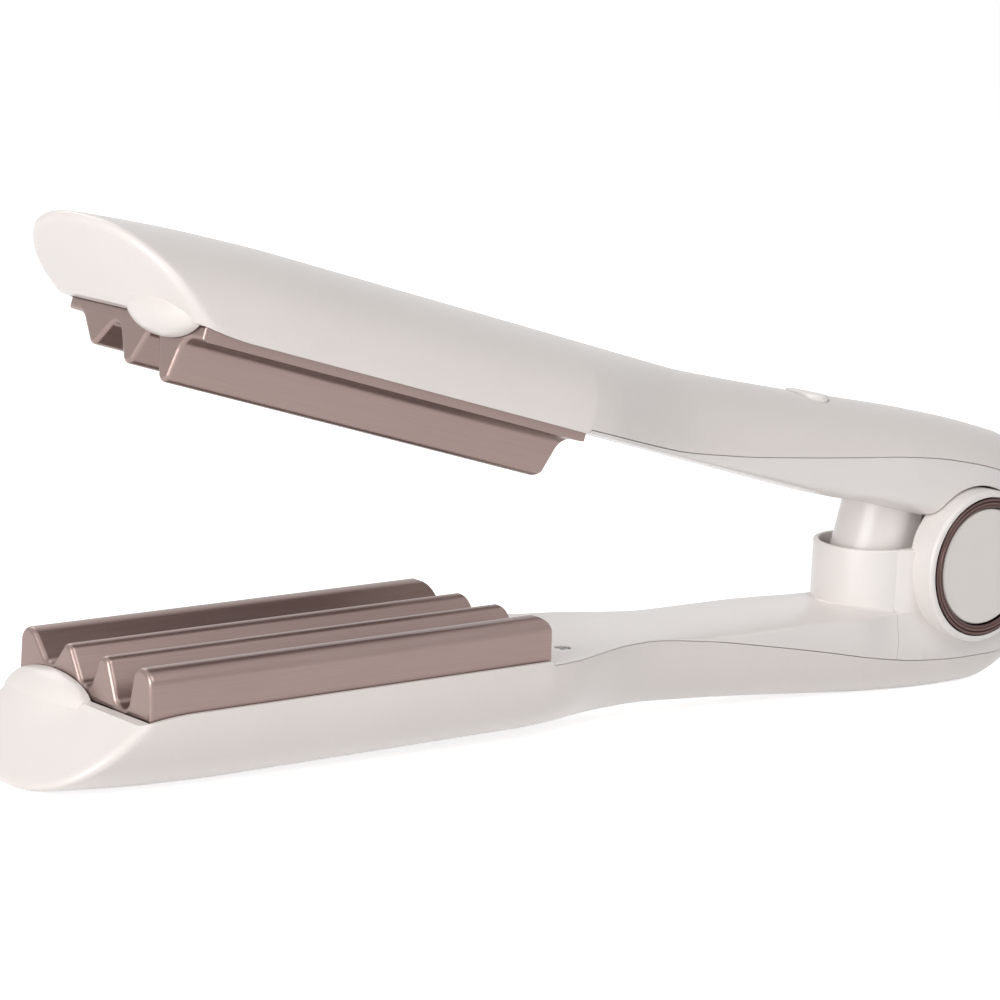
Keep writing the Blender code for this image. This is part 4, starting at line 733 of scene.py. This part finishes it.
# Power button in its thumb scoop

button = inMm(
    halfLength=3.6, halfWidth=5.2, proud=0.3, crown=0.6, flange=1, flangeReach=0.8, scoopHalfLength=5.6,
    scoopHalfWidth=9.2, scoopDepth=1.9, scoopSetback=1.6, collarDepth=1.6, collarReach=1.6, dish=0.25,
    stem=1.5, stemFoot=8.3, slit=0.12,
) | {"dishReach": 0.97}
buttonX = -casing["buttonReach"]
buttonSlope = atan((crest(buttonX + button["halfLength"]) - crest(buttonX - button["halfLength"]))
                   / (2 * button["halfLength"]))
buttonSeat = Matrix.Translation((buttonX, 0.0, crest(buttonX))) @ Matrix.Rotation(-buttonSlope, 4, "Y")


def ovalMesh(name, levels):  # levels of (half length, half width, height)
    angles = [2 * pi * i / fine["round"] for i in range(fine["round"])]
    return ringSolid(name, "upper", [[buttonSeat @ Vector((a * cos(t), b * sin(t), z))
                                      for t in angles] for a, b, z in levels])


def cutButtonSeat(shell):
    length, width = button["halfLength"], button["halfWidth"]
    foot = -button["scoopDepth"] - button["collarDepth"]
    collar = (length + button["collarReach"], width + button["collarReach"])
    hole = (length + button["slit"], width + button["slit"])
    unite(shell, ovalMesh("collar", [(*collar, foot), (*collar, -casing["wall"] - gap)]))
    curve = button["scoopDepth"] * 2
    wider = sqrt(1 - ((curve - button["scoopDepth"]) / curve) ** 2)
    fit = (Matrix.Translation((-button["scoopSetback"], 0.0, curve - button["scoopDepth"])) @ Matrix.Diagonal(
        (button["scoopHalfLength"] / wider, button["scoopHalfWidth"] / wider, curve, 1.0)))
    cut(shell, ballMesh("scoop", "upper", buttonSeat @ fit),
        ovalMesh("buttonHole", [(*hole, foot - overrun), (*hole, overrun)]))


def powerButton():
    length, width, crown = button["halfLength"], button["halfWidth"], button["crown"]
    foot = -button["scoopDepth"] - button["collarDepth"] - gap
    out = button["flangeReach"]
    stem, low = button["stem"], foot - button["flange"]
    levels = [(stem, stem, -button["stemFoot"]), (stem, stem, low), (length + out, width + out, low),
              (length + out, width + out, foot), (length, width, foot)]
    for into, down in quarterRound(fine["crown"]):  # rounded top edge, then a shallow dish for the thumb
        levels.append((length - crown * into, width - crown * into, button["proud"] - crown * down))
    for step in range(1, fine["crown"] + 1):
        share = step / fine["crown"]
        left = 1 - share * button["dishReach"]
        levels.append(((length - crown) * left, (width - crown) * left,
                       button["proud"] - button["dish"] * ease(share)))
    return ovalMesh("powerButton", levels)


upperShell = outerShell("upper", casing["upperTail"])
cutButtonSeat(upperShell)
finishPiece(upperShell, "upper_arm", pearl, "upper_outer_shell")
lowerShell = outerShell("lower", casing["tail"])
floorCut = boxMesh("floorCut", "lower", (-1.0, -1.0, -1.0), (1.0, 1.0, 0.0))
floorCut.matrix_world = Matrix.Identity(4)
cut(lowerShell, floorCut)
finishPiece(lowerShell, "lower_arm", pearl, "lower_outer_shell")
finishPiece(powerButton(), "button", whiteSatin, "power_button")
print("casings and button made")


# Wave plates

def waveCircles(away):  # circles that the wave line runs round
    half = plates["width"] / 2
    last = len(plates["ridgePlaceShares"]) - 1
    circles = []
    for i, (place, height) in enumerate(zip(plates["ridgePlaceShares"], plates["ridgeHeightShares"])):
        radius = plates["edgeRidgeRadius"] if i in (0, last) else plates["ridgeRadius"]
        top = plates["ridgeHeight"] * height - plates["base"]
        circles.append((half * place, top - radius, radius + away, 1))
        if i < last:
            floor = plates["ridgeHeight"] * plates["valleyFloorShares"][i] - plates["base"]
            circles.append((half * plates["valleyPlaceShares"][i], floor + plates["valleyRadius"],
                            plates["valleyRadius"] - away, -1))
    return circles


def waveLine(away, firstAngle, lastAngle):
    circles = waveCircles(away)
    bends = []
    for (y1, z1, r1, s1), (y2, z2, r2, _) in zip(circles, circles[1:]):
        reach = hypot(y2 - y1, z2 - z1)
        bends.append(atan2(z2 - z1, y2 - y1) - s1 * asin((r1 + r2) / reach) + pi / 2)
    points = []
    for (y, z, radius, sign), start, end in zip(circles, [firstAngle] + bends, bends + [lastAngle]):
        for step in range(fine["arc"] + 1):
            angle = start + (end - start) * step / fine["arc"]
            points.append((y + sign * radius * cos(angle), z + sign * radius * sin(angle)))
    return points


def insetOutline(line, inset):  # moves an outline inwards along its own normals
    area = sum(a[0] * b[1] - b[0] * a[1] for a, b in zip(line, line[1:] + line[:1]))
    side = copysign(inset, area)
    moved = []
    for i, point in enumerate(line):
        here, before, after = Vector(point), Vector(line[i - 1]), Vector(line[(i + 1) % len(line)])
        first, second = (here - before).normalized(), (after - here).normalized()
        across = Vector((-first.y - second.y, first.x + second.x))
        if first.length == 0.0 or second.length == 0.0 or across.length < fine["leastAcross"]:
            across = Vector((-second.y, second.x)) * 2
        reach = 2 * side / max(across.length_squared, fine["leastSquared"])  # sharp corners stay near
        moved.append((point[0] + across.x * reach, point[1] + across.y * reach))
    return moved


def cornerCut(name, arm, foot, radius, rear, lowX, top):
    arc = [(lowX - radius * down, foot + radius * into) for into, down in quarterRound(fine["arc"])]
    out = plateRear + overrun
    outside = [(rear, top), (out, top), (out, foot - overrun), (lowX - radius, foot - overrun)]
    return prismMesh(name, arm, "Y", arc + outside, -plates["width"], plates["width"])


def wavePlate(arm):
    half, base = plates["width"] / 2, plates["base"]
    if arm == "lower":
        line = [(-y, -z) for y, z in waveLine(0.0, pi, 0.0)] + [(-half, base), (half, base)]
        foot, radius = base - plates["ridgeHeight"], plates["cornerRadius"]
        corner = cornerCut("lowerCorner", arm, foot, radius, plateRear + overrun, plateRear, foot + radius)
    else:
        roof = plates["ridgeHeight"] - base + plates["meshGap"]
        edge = roof + plates["flangeRise"]
        line = ([(-half, edge)] + waveLine(plates["meshGap"], pi / 2, pi / 2)
                + [(half, edge), (half, base), (-half, base)])
        foot = plates["ridgeHeight"] * plates["valleyFloorShares"][0] - base + plates["meshGap"]
        rear = plateRear - plates["upperSetback"]
        corner = cornerCut("upperCorner", arm, foot, plates["upperCornerRadius"], rear,
                           rear - plates["upperSlope"], roof + plates["cornerRise"])
    round_ = plates["endRound"]  # the front end is rounded over, the rear one is left square
    rings = [[(plateFront + round_ * down, y, z) for y, z in insetOutline(line, round_ * into)]
             for into, down in quarterRound(fine["edge"])[::-1]]
    plate = ringSolid(arm + "WavePlate", arm, rings + [[(plateRear, y, z) for y, z in line]])
    for place in (-plates["railPlace"] - plates["railWidth"], plates["railPlace"]):
        unite(plate, boxMesh(f"{arm}Rail{place > 0}", arm, (plateFront + 2 * round_, place, base - overrun),
                             (plateRear, place + plates["railWidth"], base + plates["railHeight"])))
    cut(plate, corner)
    return plate


for arm in ("lower", "upper"):
    finishPiece(wavePlate(arm), armBodies[arm], roseBronze[arm], arm + "_wave_plate")
print("wave plates made")


# Cup, post and return spring

cup = inMm(
    reach=17.2, radius=11.2, wall=1.2, rise=4.1, depth=14, floor=1.5, lip=0.5, frontFillet=0.4,
    fillet=0.7, flank=12.1, flankRun=(4, 10), filletFade=4, nearStep=0.3, farStep=1, holeInset=0.1,
) | {"flankSlope": 0.155, "filletShares": (0.35, 0.5)}
post = inMm(
    reach=16.5, radius=8.1, wall=1.2, drop=5, flangeReach=0.7, flange=1.4, lift=1, coverFloor=1.8,
    lip=0.5, sideEnd=11.6, sideHalf=7.9,
) | {"lipShares": ((0.5, 0), (0.15, 0.35), (0, 1))}
spring = inMm(radius=3.8, wire=0.4) | {"turns": 7, "steps": 28}
cupAt, postAt = (-cup["reach"], 0.0), (-post["reach"], 0.0)
postSeat = underside("upper", -post["reach"]) + post["coverFloor"] + post["lift"]
postCeiling = postSeat - post["flange"]


def springCup():
    inner = cup["radius"] - cup["wall"]
    corners = [(0.0, cup["depth"] - cup["floor"]), (inner, cup["depth"] - cup["floor"]),
               (inner, -cup["rise"]), (cup["radius"], -cup["rise"]), (cup["radius"], cup["depth"]),
               (0.0, cup["depth"])]
    return turnedMesh("springCup", "lower", "Z", roundedProfile(corners, cup["lip"]), cupAt)


def springPost():
    inner, flange = post["radius"] - post["wall"], post["radius"] + post["flangeReach"]
    corners = [(0.0, postCeiling), (inner, postCeiling), (inner, -post["drop"]),
               (post["radius"], -post["drop"]), (post["radius"], postSeat), (flange, postSeat),
               (flange, postSeat + post["flange"]), (0.0, postSeat + post["flange"])]
    made = turnedMesh("springPost", "upper", "Z", roundedProfile(corners, post["lip"]), postAt)
    half, end, round_, low = post["sideHalf"], -post["sideEnd"], post["lip"], -post["drop"]
    plan = ((-post["reach"], half), (end - round_, half), (end, half - round_), (end, round_ - half),
            (end - round_, -half), (-post["reach"], -half))
    levels = [(share * round_, low + rise * round_) for share, rise in post["lipShares"]]
    rings = [[(x - inset, y - copysign(inset, y), height) for x, y in plan]
             for inset, height in levels + [(0.0, postCeiling)]]
    unite(made, ringSolid("postSides", "upper", rings))  # its sides run straight back towards the hinge
    cut(made, rodMesh("postHollow", "upper", "Z", low - overrun, postCeiling, inner, postAt))
    return made


springClear = spring["wire"] + gap
springHigh = postCeiling - springClear
springFoot = Vector((-cup["reach"], 0.0, cup["depth"] - cup["floor"] - springClear))
closedHead = Vector((-post["reach"], 0.0, -springHigh))
openHead = Matrix.Rotation(-opening, 3, "Y") @ closedHead


def returnSpring():
    foot, head = springFoot, openHead
    sine = sin(opening)
    knee = head - Vector((sine, 0.0, -cos(opening))) * ((head.x - foot.x) / sine)
    sideways = Vector((0.0, 1.0, 0.0))
    points = []
    count = spring["turns"] * spring["steps"]
    for i in range(count + 1):
        t = i / count
        along = ((knee - foot) * (1 - t) + (head - knee) * t).normalized()
        turn = 2 * pi * spring["turns"] * t
        across = sideways.cross(along)
        points.append(bend(foot, knee, head, t)
                      + (sideways * cos(turn) + across * sin(turn)) * spring["radius"])
    return tubeMesh("returnSpring", "lower", points, spring["wire"])


finishPiece(springCup(), "lower_arm", whiteSatin, "spring_cup")
finishPiece(springPost(), "upper_arm", whiteSatin, "spring_post")
print("cup and post made")


# Inner covers

screwSize = inMm(
    setback=10.4, spread=12, headRadius=1.5, headHeight=1.2, shankRadius=0.9, length=8.5, sunk=0.2,
    slotWidth=0.35, slotReach=0.95, slotDepth=0.7, headDrop=0.1,
)
screwX = plateRear + screwSize["setback"]


def screwProfile(arm, slack, past):
    top = underside(arm, screwX) + screwSize["sunk"]
    head, shank = screwSize["headRadius"] + slack, screwSize["shankRadius"] + slack
    return [(0.0, top + screwSize["length"]), (shank, top + screwSize["length"]),
            (shank, top + screwSize["headHeight"]), (head, top + screwSize["sunk"]), (head, top - past),
            (0.0, top - past)]


def flowRoundCup(x, y, z):  # sides drawn in beside the cup, and a fillet up to it
    top = underside("lower", x)
    full, run = cup["flankRun"]
    share = 1.0 - ease((abs(x + cup["reach"]) - full) / run)
    flank = cup["flank"] + cup["flankSlope"] * (z - top)
    y = copysign(abs(y) - share * max(0.0, abs(y) - flank), y)
    distance = hypot(x + cup["reach"], y)
    frontShare, sideShare = cup["filletShares"]
    sideways = ease((abs(y) / max(distance, gap) - frontShare) / sideShare)
    radius = cup["frontFillet"] + (cup["fillet"] - cup["frontFillet"]) * sideways
    away = max(distance - cup["radius"], 0.0)
    if away >= radius:
        return x, y, z
    rise = radius - sqrt(radius ** 2 - (radius - away) ** 2)
    return x, y, z - rise * (1.0 - ease((z - top) / cup["filletFade"]))


def stations(start, end):  # close together beside the cup, wider elsewhere
    places = [start]
    while places[-1] < end:
        nearCup = abs(places[-1] + cup["reach"]) < cup["radius"] + cup["fillet"]
        places.append(places[-1] + cup["nearStep" if nearCup else "farStep"])
    return places[:-1] + [end]


def innerCover(arm, rear, tail):
    name = arm + "Cover"
    front = plateRear + gap
    places = stations(front, rear)
    if rear > 0.0:
        places = endRings(places, rear)
    cover = loftMesh(name, arm, [[flowRoundCup(x, y, z) if arm == "lower" else (x, y, z)
                                  for y, z in bowlPoints(arm, x, tailInset(x, tail))] for x in places])
    for side, sign in (("Near", 1), ("Far", -1)):
        cut(cover, turnedMesh(name + side + "Hole", arm, "Z", screwProfile(arm, gap / 2, overrun),
                              (screwX, sign * screwSize["spread"]), fine["smallRound"]))
    return cover


hub = inMm(
    cheekRadius=15.8, farCheekRadius=12.5, nearStart=10.7, farStart=10.5, nearFace=17.4, farFace=14,
    edgeRadius=0.9, pocketDepth=2.4, bezelWidth=1.55, ringWidth=1.9, ringProud=0.2, discSunk=0.2,
    pinRadius=2.5, bushWall=1.4, barrelRadius=15.4, barrelSlack=0.4, cutGap=0.5, webHalfWidth=5,
    webFront=5, webRear=9.5, swivelStart=21.2, swivelRadius=9.6, barrelEdge=0.5, grooveHalf=0.12,
    grooveDepth=0.16, ringOuterEdge=0.1, ringInnerEdge=0.25, discEdge=0.4, discDome=0.12,
) | {"grooveShare": 0.36}


def cupHole(name):
    radius = cup["radius"] - cup["holeInset"]
    return rodMesh(name, "lower", "Z", -cup["radius"], casing["plateCrest"], radius, cupAt)


lowerCover = innerCover("lower", -casing["housingReach"] - casing["partingGap"] / 2, casing["tail"])
cut(lowerCover, cupHole("coverCupHole"))
finishPiece(lowerCover, "lower_arm", whiteSatin, "lower_inner_cover")
upperCover = innerCover("upper", casing["upperTail"], casing["upperTail"])
wide = casing["halfWidth"]
cut(upperCover,
    rodMesh("postHole", "upper", "Z", 0.0, postSeat + overrun, post["radius"] + gap, postAt),
    rodMesh("hubCut", "upper", "Y", -wide, hub["farStart"], hub["cheekRadius"] + hub["cutGap"]),
    rodMesh("farHubCut", "upper", "Y", 0.0, wide, hub["farCheekRadius"] + hub["cutGap"]))
finishPiece(upperCover, "upper_arm", whiteSatin, "upper_inner_cover")
print("inner covers made")


# Hinge housing, barrel and hub covers

def cheekEdge(radius, face):
    return [(radius - hub["edgeRadius"] * into, face - hub["edgeRadius"] * down)
            for into, down in quarterRound(fine["edge"])]


shoulder = inMm(
    inside=10.8, round=0.5, foot=9,
    plan=((-19.4, 10.95), (-18.6, 11.3), (-17.6, 11.72), (-16.6, 12.05), (-15.6, 12.25), (-14.4, 12.3),
          (-10, 12.3), (-10, 11), (-19.4, 10.8)),
) | {"drawnIn": 0.35}


def shoulderMesh():  # upright wall that runs from the cup to the near cheek
    inside = shoulder["inside"]
    rings = []
    for into, down in quarterRound(fine["shoulder"]):
        share, height = 1 - down * shoulder["drawnIn"], shoulder["round"] * into - cup["rise"]
        rings.append([(x, inside + (y - inside) * share, height) for x, y in shoulder["plan"]])
    rings.append([(x, y, shoulder["foot"]) for x, y in shoulder["plan"]])
    return ringSolid("shoulder", "lower", rings)


def hingeHousing():
    front = -casing["housingReach"] + casing["partingGap"] / 2
    body = loftMesh("hingeHousing", "lower", [[flowRoundCup(x, y, z) for y, z in bowlPoints("lower", x)]
                                              for x in stations(front, casing["tail"])])
    far = [(radius, -along) for radius, along in cheekEdge(hub["farCheekRadius"], hub["farFace"])[::-1]]
    near = cheekEdge(hub["cheekRadius"], hub["nearFace"])
    profile = [(0.0, -hub["farFace"]), *far, (hub["farCheekRadius"], overrun), (hub["cheekRadius"], overrun),
               *near, (0.0, hub["nearFace"])]
    unite(body, shoulderMesh(), turnedMesh("cheeks", "lower", "Y", profile))
    cut(body, rodMesh("barrelSpace", "lower", "Y", -hub["farStart"], hub["nearStart"],
                      hub["barrelRadius"] + hub["cutGap"]), selfTouch=True)
    cut(body,
        cupHole("housingCupHole"),
        rodMesh("swivelSeat", "lower", "X", hub["swivelStart"] - gap, casing["tail"] + overrun,
                hub["swivelRadius"] + gap),
        rodMesh("nearPocket", "lower", "Y", hub["nearFace"] - hub["pocketDepth"], wide,
                hub["cheekRadius"] - hub["bezelWidth"] + gap),
        rodMesh("farPocket", "lower", "Y", -wide, hub["pocketDepth"] - hub["farFace"],
                hub["farCheekRadius"] - hub["bezelWidth"] + gap))
    return body


def hingeBarrel():
    near, far = hub["barrelSlack"] - hub["nearStart"], hub["farStart"] - hub["barrelSlack"]
    corners = [(0.0, near), (hub["barrelRadius"], near), (hub["barrelRadius"], far), (0.0, far)]
    barrel = turnedMesh("hingeBarrel", "upper", "Y", roundedProfile(corners, hub["barrelEdge"]))
    reach = casing["halfWidth"]
    for name, arm in (("openCut", "lower"), ("shutCut", "upper")):  # clears the cup, open and shut
        cut(barrel, rodMesh(name, arm, "Z", -reach, reach, cup["radius"] + hub["cutGap"], cupAt))
    top = min(innerHeight(x, hub["webHalfWidth"]) for x in (-hub["webFront"], hub["webRear"])) - gap
    unite(barrel, boxMesh("web", "upper", (-hub["webFront"], -hub["webHalfWidth"], hub["barrelRadius"] / 2),
                          (hub["webRear"], hub["webHalfWidth"], top)))
    cut(barrel, rodMesh("bushBore", "upper", "Y", -reach, reach,
                        hub["pinRadius"] + 2 * gap + hub["bushWall"]))
    return barrel


def hubRing(name, sign, radius, face):  # dark ring with a fine groove round it
    outer, inner = radius - hub["bezelWidth"], radius - hub["bezelWidth"] - hub["ringWidth"]
    seat, top = face - hub["pocketDepth"] + gap, face + hub["ringProud"]
    groove, wide = outer - hub["ringWidth"] * hub["grooveShare"], hub["grooveHalf"]
    out, into = hub["ringOuterEdge"], hub["ringInnerEdge"]
    corners = [(inner, seat), (outer, seat), (outer, top - out), (outer - out, top), (groove + wide, top),
               (groove, top - hub["grooveDepth"]), (groove - wide, top), (inner + into, top),
               (inner, top - into)]
    return turnedMesh(name, "lower", "Y", [(r, sign * a) for r, a in corners], steps=2 * fine["round"])


def hubDisc(name, sign, radius, face):  # very slightly domed, with a soft edge
    outer = radius - hub["bezelWidth"] - hub["ringWidth"] - gap
    seat, top = face - hub["pocketDepth"] + gap, face - hub["discSunk"]
    edge = hub["discEdge"]
    profile = [(0.0, seat), (outer, seat)]
    profile += [(outer - edge * into, top - edge * down) for into, down in quarterRound(fine["crown"])]
    for step in range(1, fine["dome"] + 1):
        share = 1 - step / fine["dome"]
        profile.append(((outer - edge) * share, top + hub["discDome"] * (1 - share ** 2)))
    return turnedMesh(name, "lower", "Y", [(r, sign * a) for r, a in profile], steps=2 * fine["round"])


finishPiece(hingeHousing(), "lower_arm", whiteSatin, "hinge_housing")
finishPiece(hingeBarrel(), "upper_arm", whiteSatin, "hinge_barrel")
coil = finishPiece(returnSpring(), "lower_arm", plainSteel, "return_spring")
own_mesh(coil)
for side, sign, radius, face in (("near", 1, hub["cheekRadius"], hub["nearFace"]),
                                 ("far", -1, hub["farCheekRadius"], hub["farFace"])):
    finishPiece(hubRing(side + "HubRing", sign, radius, face), "lower_arm", darkBronze,
                side + "_hub_ring")
    finishPiece(hubDisc(side + "HubDisc", sign, radius, face), "lower_arm", paleGrey,
                side + "_hub_disc")
print("hinge made")


# Screws with a cross recess

def screwPiece(arm, side, sign):
    at = (screwX, sign * screwSize["spread"])
    body = turnedMesh(arm + side.title() + "Screw", arm, "Z", screwProfile(arm, 0.0, -screwSize["headDrop"]),
                      at, fine["smallRound"])
    top = underside(arm, screwX) + screwSize["sunk"]
    reach, half = screwSize["slotReach"], screwSize["slotWidth"] / 2
    for name, a, b in (("Along", reach, half), ("Across", half, reach)):
        cut(body, boxMesh(arm + side + name, arm, (at[0] - a, at[1] - b, top - overrun),
                          (at[0] + a, at[1] + b, top + screwSize["slotDepth"])))
    return body


for arm in ("lower", "upper"):
    nearSign = 1 if arm == "lower" else -1  # the lower arm's frame is turned over
    for side, sign in (("near", nearSign), ("far", -nearSign)):
        finishPiece(screwPiece(arm, side, sign), armBodies[arm], plainSteel,
                    f"{arm}_{side}_screw")


# Cord swivel in the tail

swivel = inMm(
    flange=2, boreRadius=6.6, throatRadius=5.5, throatLength=3, neckLength=8, cordRadius=3.6,
    retainer=1.2, edge=0.6, housingEdge=0.7, ribDepth=0.35, ribWidth=0.9,
) | {"ribs": 3, "ribStart": 0.25, "ribPitch": 0.2, "ribShares": (0, 0.3, 0.7, 1)}
mouth = casing["tail"] + gap + swivel["flange"]


def swivelHousing():
    end, shoulder = casing["tail"] + gap, mouth - swivel["throatLength"]
    corners = [(swivel["boreRadius"], hub["swivelStart"]), (hub["swivelRadius"], hub["swivelStart"]),
               (hub["swivelRadius"], end), (casing["tailRadius"], end), (casing["tailRadius"], mouth),
               (swivel["throatRadius"], mouth), (swivel["throatRadius"], shoulder),
               (swivel["boreRadius"], shoulder)]
    return turnedMesh("swivelHousing", "lower", "X", roundedProfile(corners, swivel["housingEdge"]))


def cordSwivel():
    back = mouth - swivel["throatLength"] - gap
    innerEnd = hub["swivelStart"] + swivel["retainer"] + gap
    body, neck = swivel["boreRadius"] - gap, swivel["throatRadius"] - gap
    tip = mouth + swivel["neckLength"]
    corners = [(swivel["cordRadius"], innerEnd), (body, innerEnd), (body, back), (neck, back)]
    for number in range(swivel["ribs"]):  # shallow grip grooves round the neck
        at = mouth + swivel["neckLength"] * (swivel["ribStart"] + swivel["ribPitch"] * number)
        depths = (0.0, swivel["ribDepth"], swivel["ribDepth"], 0.0)
        corners += [(neck - depth, at + swivel["ribWidth"] * share)
                    for depth, share in zip(depths, swivel["ribShares"])]
    corners += [(neck, tip), (swivel["cordRadius"], tip)]
    return turnedMesh("cordSwivel", "lower", "X", roundedProfile(corners, swivel["edge"]))


finishPiece(swivelHousing(), "lower_arm", whiteSatin, "swivel_housing")
finishPiece(cordSwivel(), "cord_inlet", whiteSatin, "cord_swivel")
print("screws and swivel made")


# CAD nodes that keep their own shape, all of them inside the arms

keptNodes = (
    (plainSteel, ("hinge_pin", "near_hinge_bush", "far_hinge_bush", "swivel_retainer", "lower_heater_clamp",
                  "upper_heater_clamp")),
    (heaterCeramic, ("lower_heater", "upper_heater")),
    (blackMoulding, ("lower_plate_carrier", "upper_plate_carrier", "terminal_block", "power_switch")),
    (whiteSatin, ("lower_heat_sensor", "upper_thermal_fuse")),
    (boardLook, ("control_board",)),
    (sleeveLook, ("lower_heater_lead", "upper_heater_lead")),
)
for look, names in keptNodes:
    for name in names:
        slots = frame["nodes"][name].data.materials
        slots.clear()
        slots.append(look)
for tool in list(scratch.objects):
    bpy.data.objects.remove(tool)
bpy.data.collections.remove(scratch)
print("kept nodes dressed")


# Studio: pale floor, soft lamps, camera at the photograph's angle

studio = {"floorSize": 6.0, "floorColour": (0.90, 0.90, 0.90, 1.0), "floorGlow": 0.75, "ambient": 0.27,
          "white": (1.0, 1.0, 1.0, 1.0), "lampAim": (-0.11, 0.0, 0.03), "lampSize": 0.7}
lamps = {  # place and power of each lamp
    "tipLamp": ((-1.12, -0.39, 0.20), 7.5), "topLamp": ((-0.97, -0.17, 0.55), 1.0),
    "frontLamp": ((-0.22, -0.79, 0.79), 3.7), "rimLamp": ((-0.05, 0.76, 0.82), 2.2),
}
lens = {"azimuth": -39.4973, "elevation": 10.9733, "roll": 2.5202, "focalPixels": 3991.43,
        "framePixels": 1000, "distance": 0.757064, "target": (-0.115590, 0.0, 0.021142), "sensor": 36.0,
        "clipStart": 0.01}


def placed(name, data, where=Matrix.Identity(4)):
    made = bpy.data.objects.new(name, data)
    view.collection.objects.link(made)
    made.matrix_world = where
    return made


def seenDirectly(tree):  # 1 for camera, glossy and transmission rays
    rays = addNode(tree, "LightPath").outputs
    first = mathNode(tree, "MAXIMUM", rays["Is Camera Ray"], rays["Is Glossy Ray"])
    return mathNode(tree, "MAXIMUM", first, rays["Is Transmission Ray"])


def makeFloor():
    bm = bmesh.new()
    bmesh.ops.create_grid(bm, x_segments=1, y_segments=1, size=studio["floorSize"])
    mesh = bpy.data.meshes.new("floor")
    bm.to_mesh(mesh)
    bm.free()
    look = bpy.data.materials.new("paleFloor")
    look.use_nodes = True
    tree = look.node_tree
    tree.nodes.remove(tree.nodes["Principled BSDF"])
    matt = addNode(tree, "BsdfDiffuse", Color=studio["floorColour"])
    glow = addNode(tree, "Emission", Color=studio["white"],
                   Strength=mathNode(tree, "MULTIPLY", seenDirectly(tree), studio["floorGlow"]))
    both = addNode(tree, "AddShader", {}, (matt.outputs[0], glow.outputs[0]))
    tree.links.new(both.outputs[0], tree.nodes["Material Output"].inputs["Surface"])
    mesh.materials.append(look)
    placed("floor", mesh)


def makeWorld():
    world = bpy.data.worlds.new("studio")
    view.world = world
    world.use_nodes = True
    tree = world.node_tree
    back = tree.nodes["Background"].inputs
    plug(tree, back["Color"], studio["white"])
    plug(tree, back["Strength"], spread(tree, seenDirectly(tree), studio["ambient"], 1.0, fromLow=0.0,
                                        fromHigh=1.0))


def makeLamps():
    for name, (at, power) in lamps.items():
        data = bpy.data.lights.new(name, "AREA")
        data.shape, data.size, data.energy = "DISK", studio["lampSize"], power
        turn = (Vector(studio["lampAim"]) - Vector(at)).to_track_quat("-Z", "Y")
        placed(name, data, Matrix.Translation(at) @ turn.to_matrix().to_4x4())


def makeCamera():
    az, el, roll = (radians(lens[key]) for key in ("azimuth", "elevation", "roll"))
    back = Vector((sin(az) * cos(el), -cos(az) * cos(el), sin(el)))
    right = Vector((cos(az), sin(az), 0.0))
    up = back.cross(right)
    across = right * cos(roll) + up * sin(roll)
    above = up * cos(roll) - right * sin(roll)
    eye = Vector(lens["target"]) + back * lens["distance"]
    look = Matrix((across, above, back)).transposed().to_4x4()
    data = bpy.data.cameras.new("camera")
    data.sensor_width = lens["sensor"]
    data.lens = lens["focalPixels"] * lens["sensor"] / lens["framePixels"]
    data.clip_start = lens["clipStart"]
    view.camera = placed("camera", data, toHinge @ Matrix.Rotation(-tilt, 4, "Y")
                         @ Matrix.Translation(eye) @ look)


makeFloor()
makeWorld()
makeLamps()
makeCamera()
view.view_settings.view_transform = "Standard"
print("studio made")
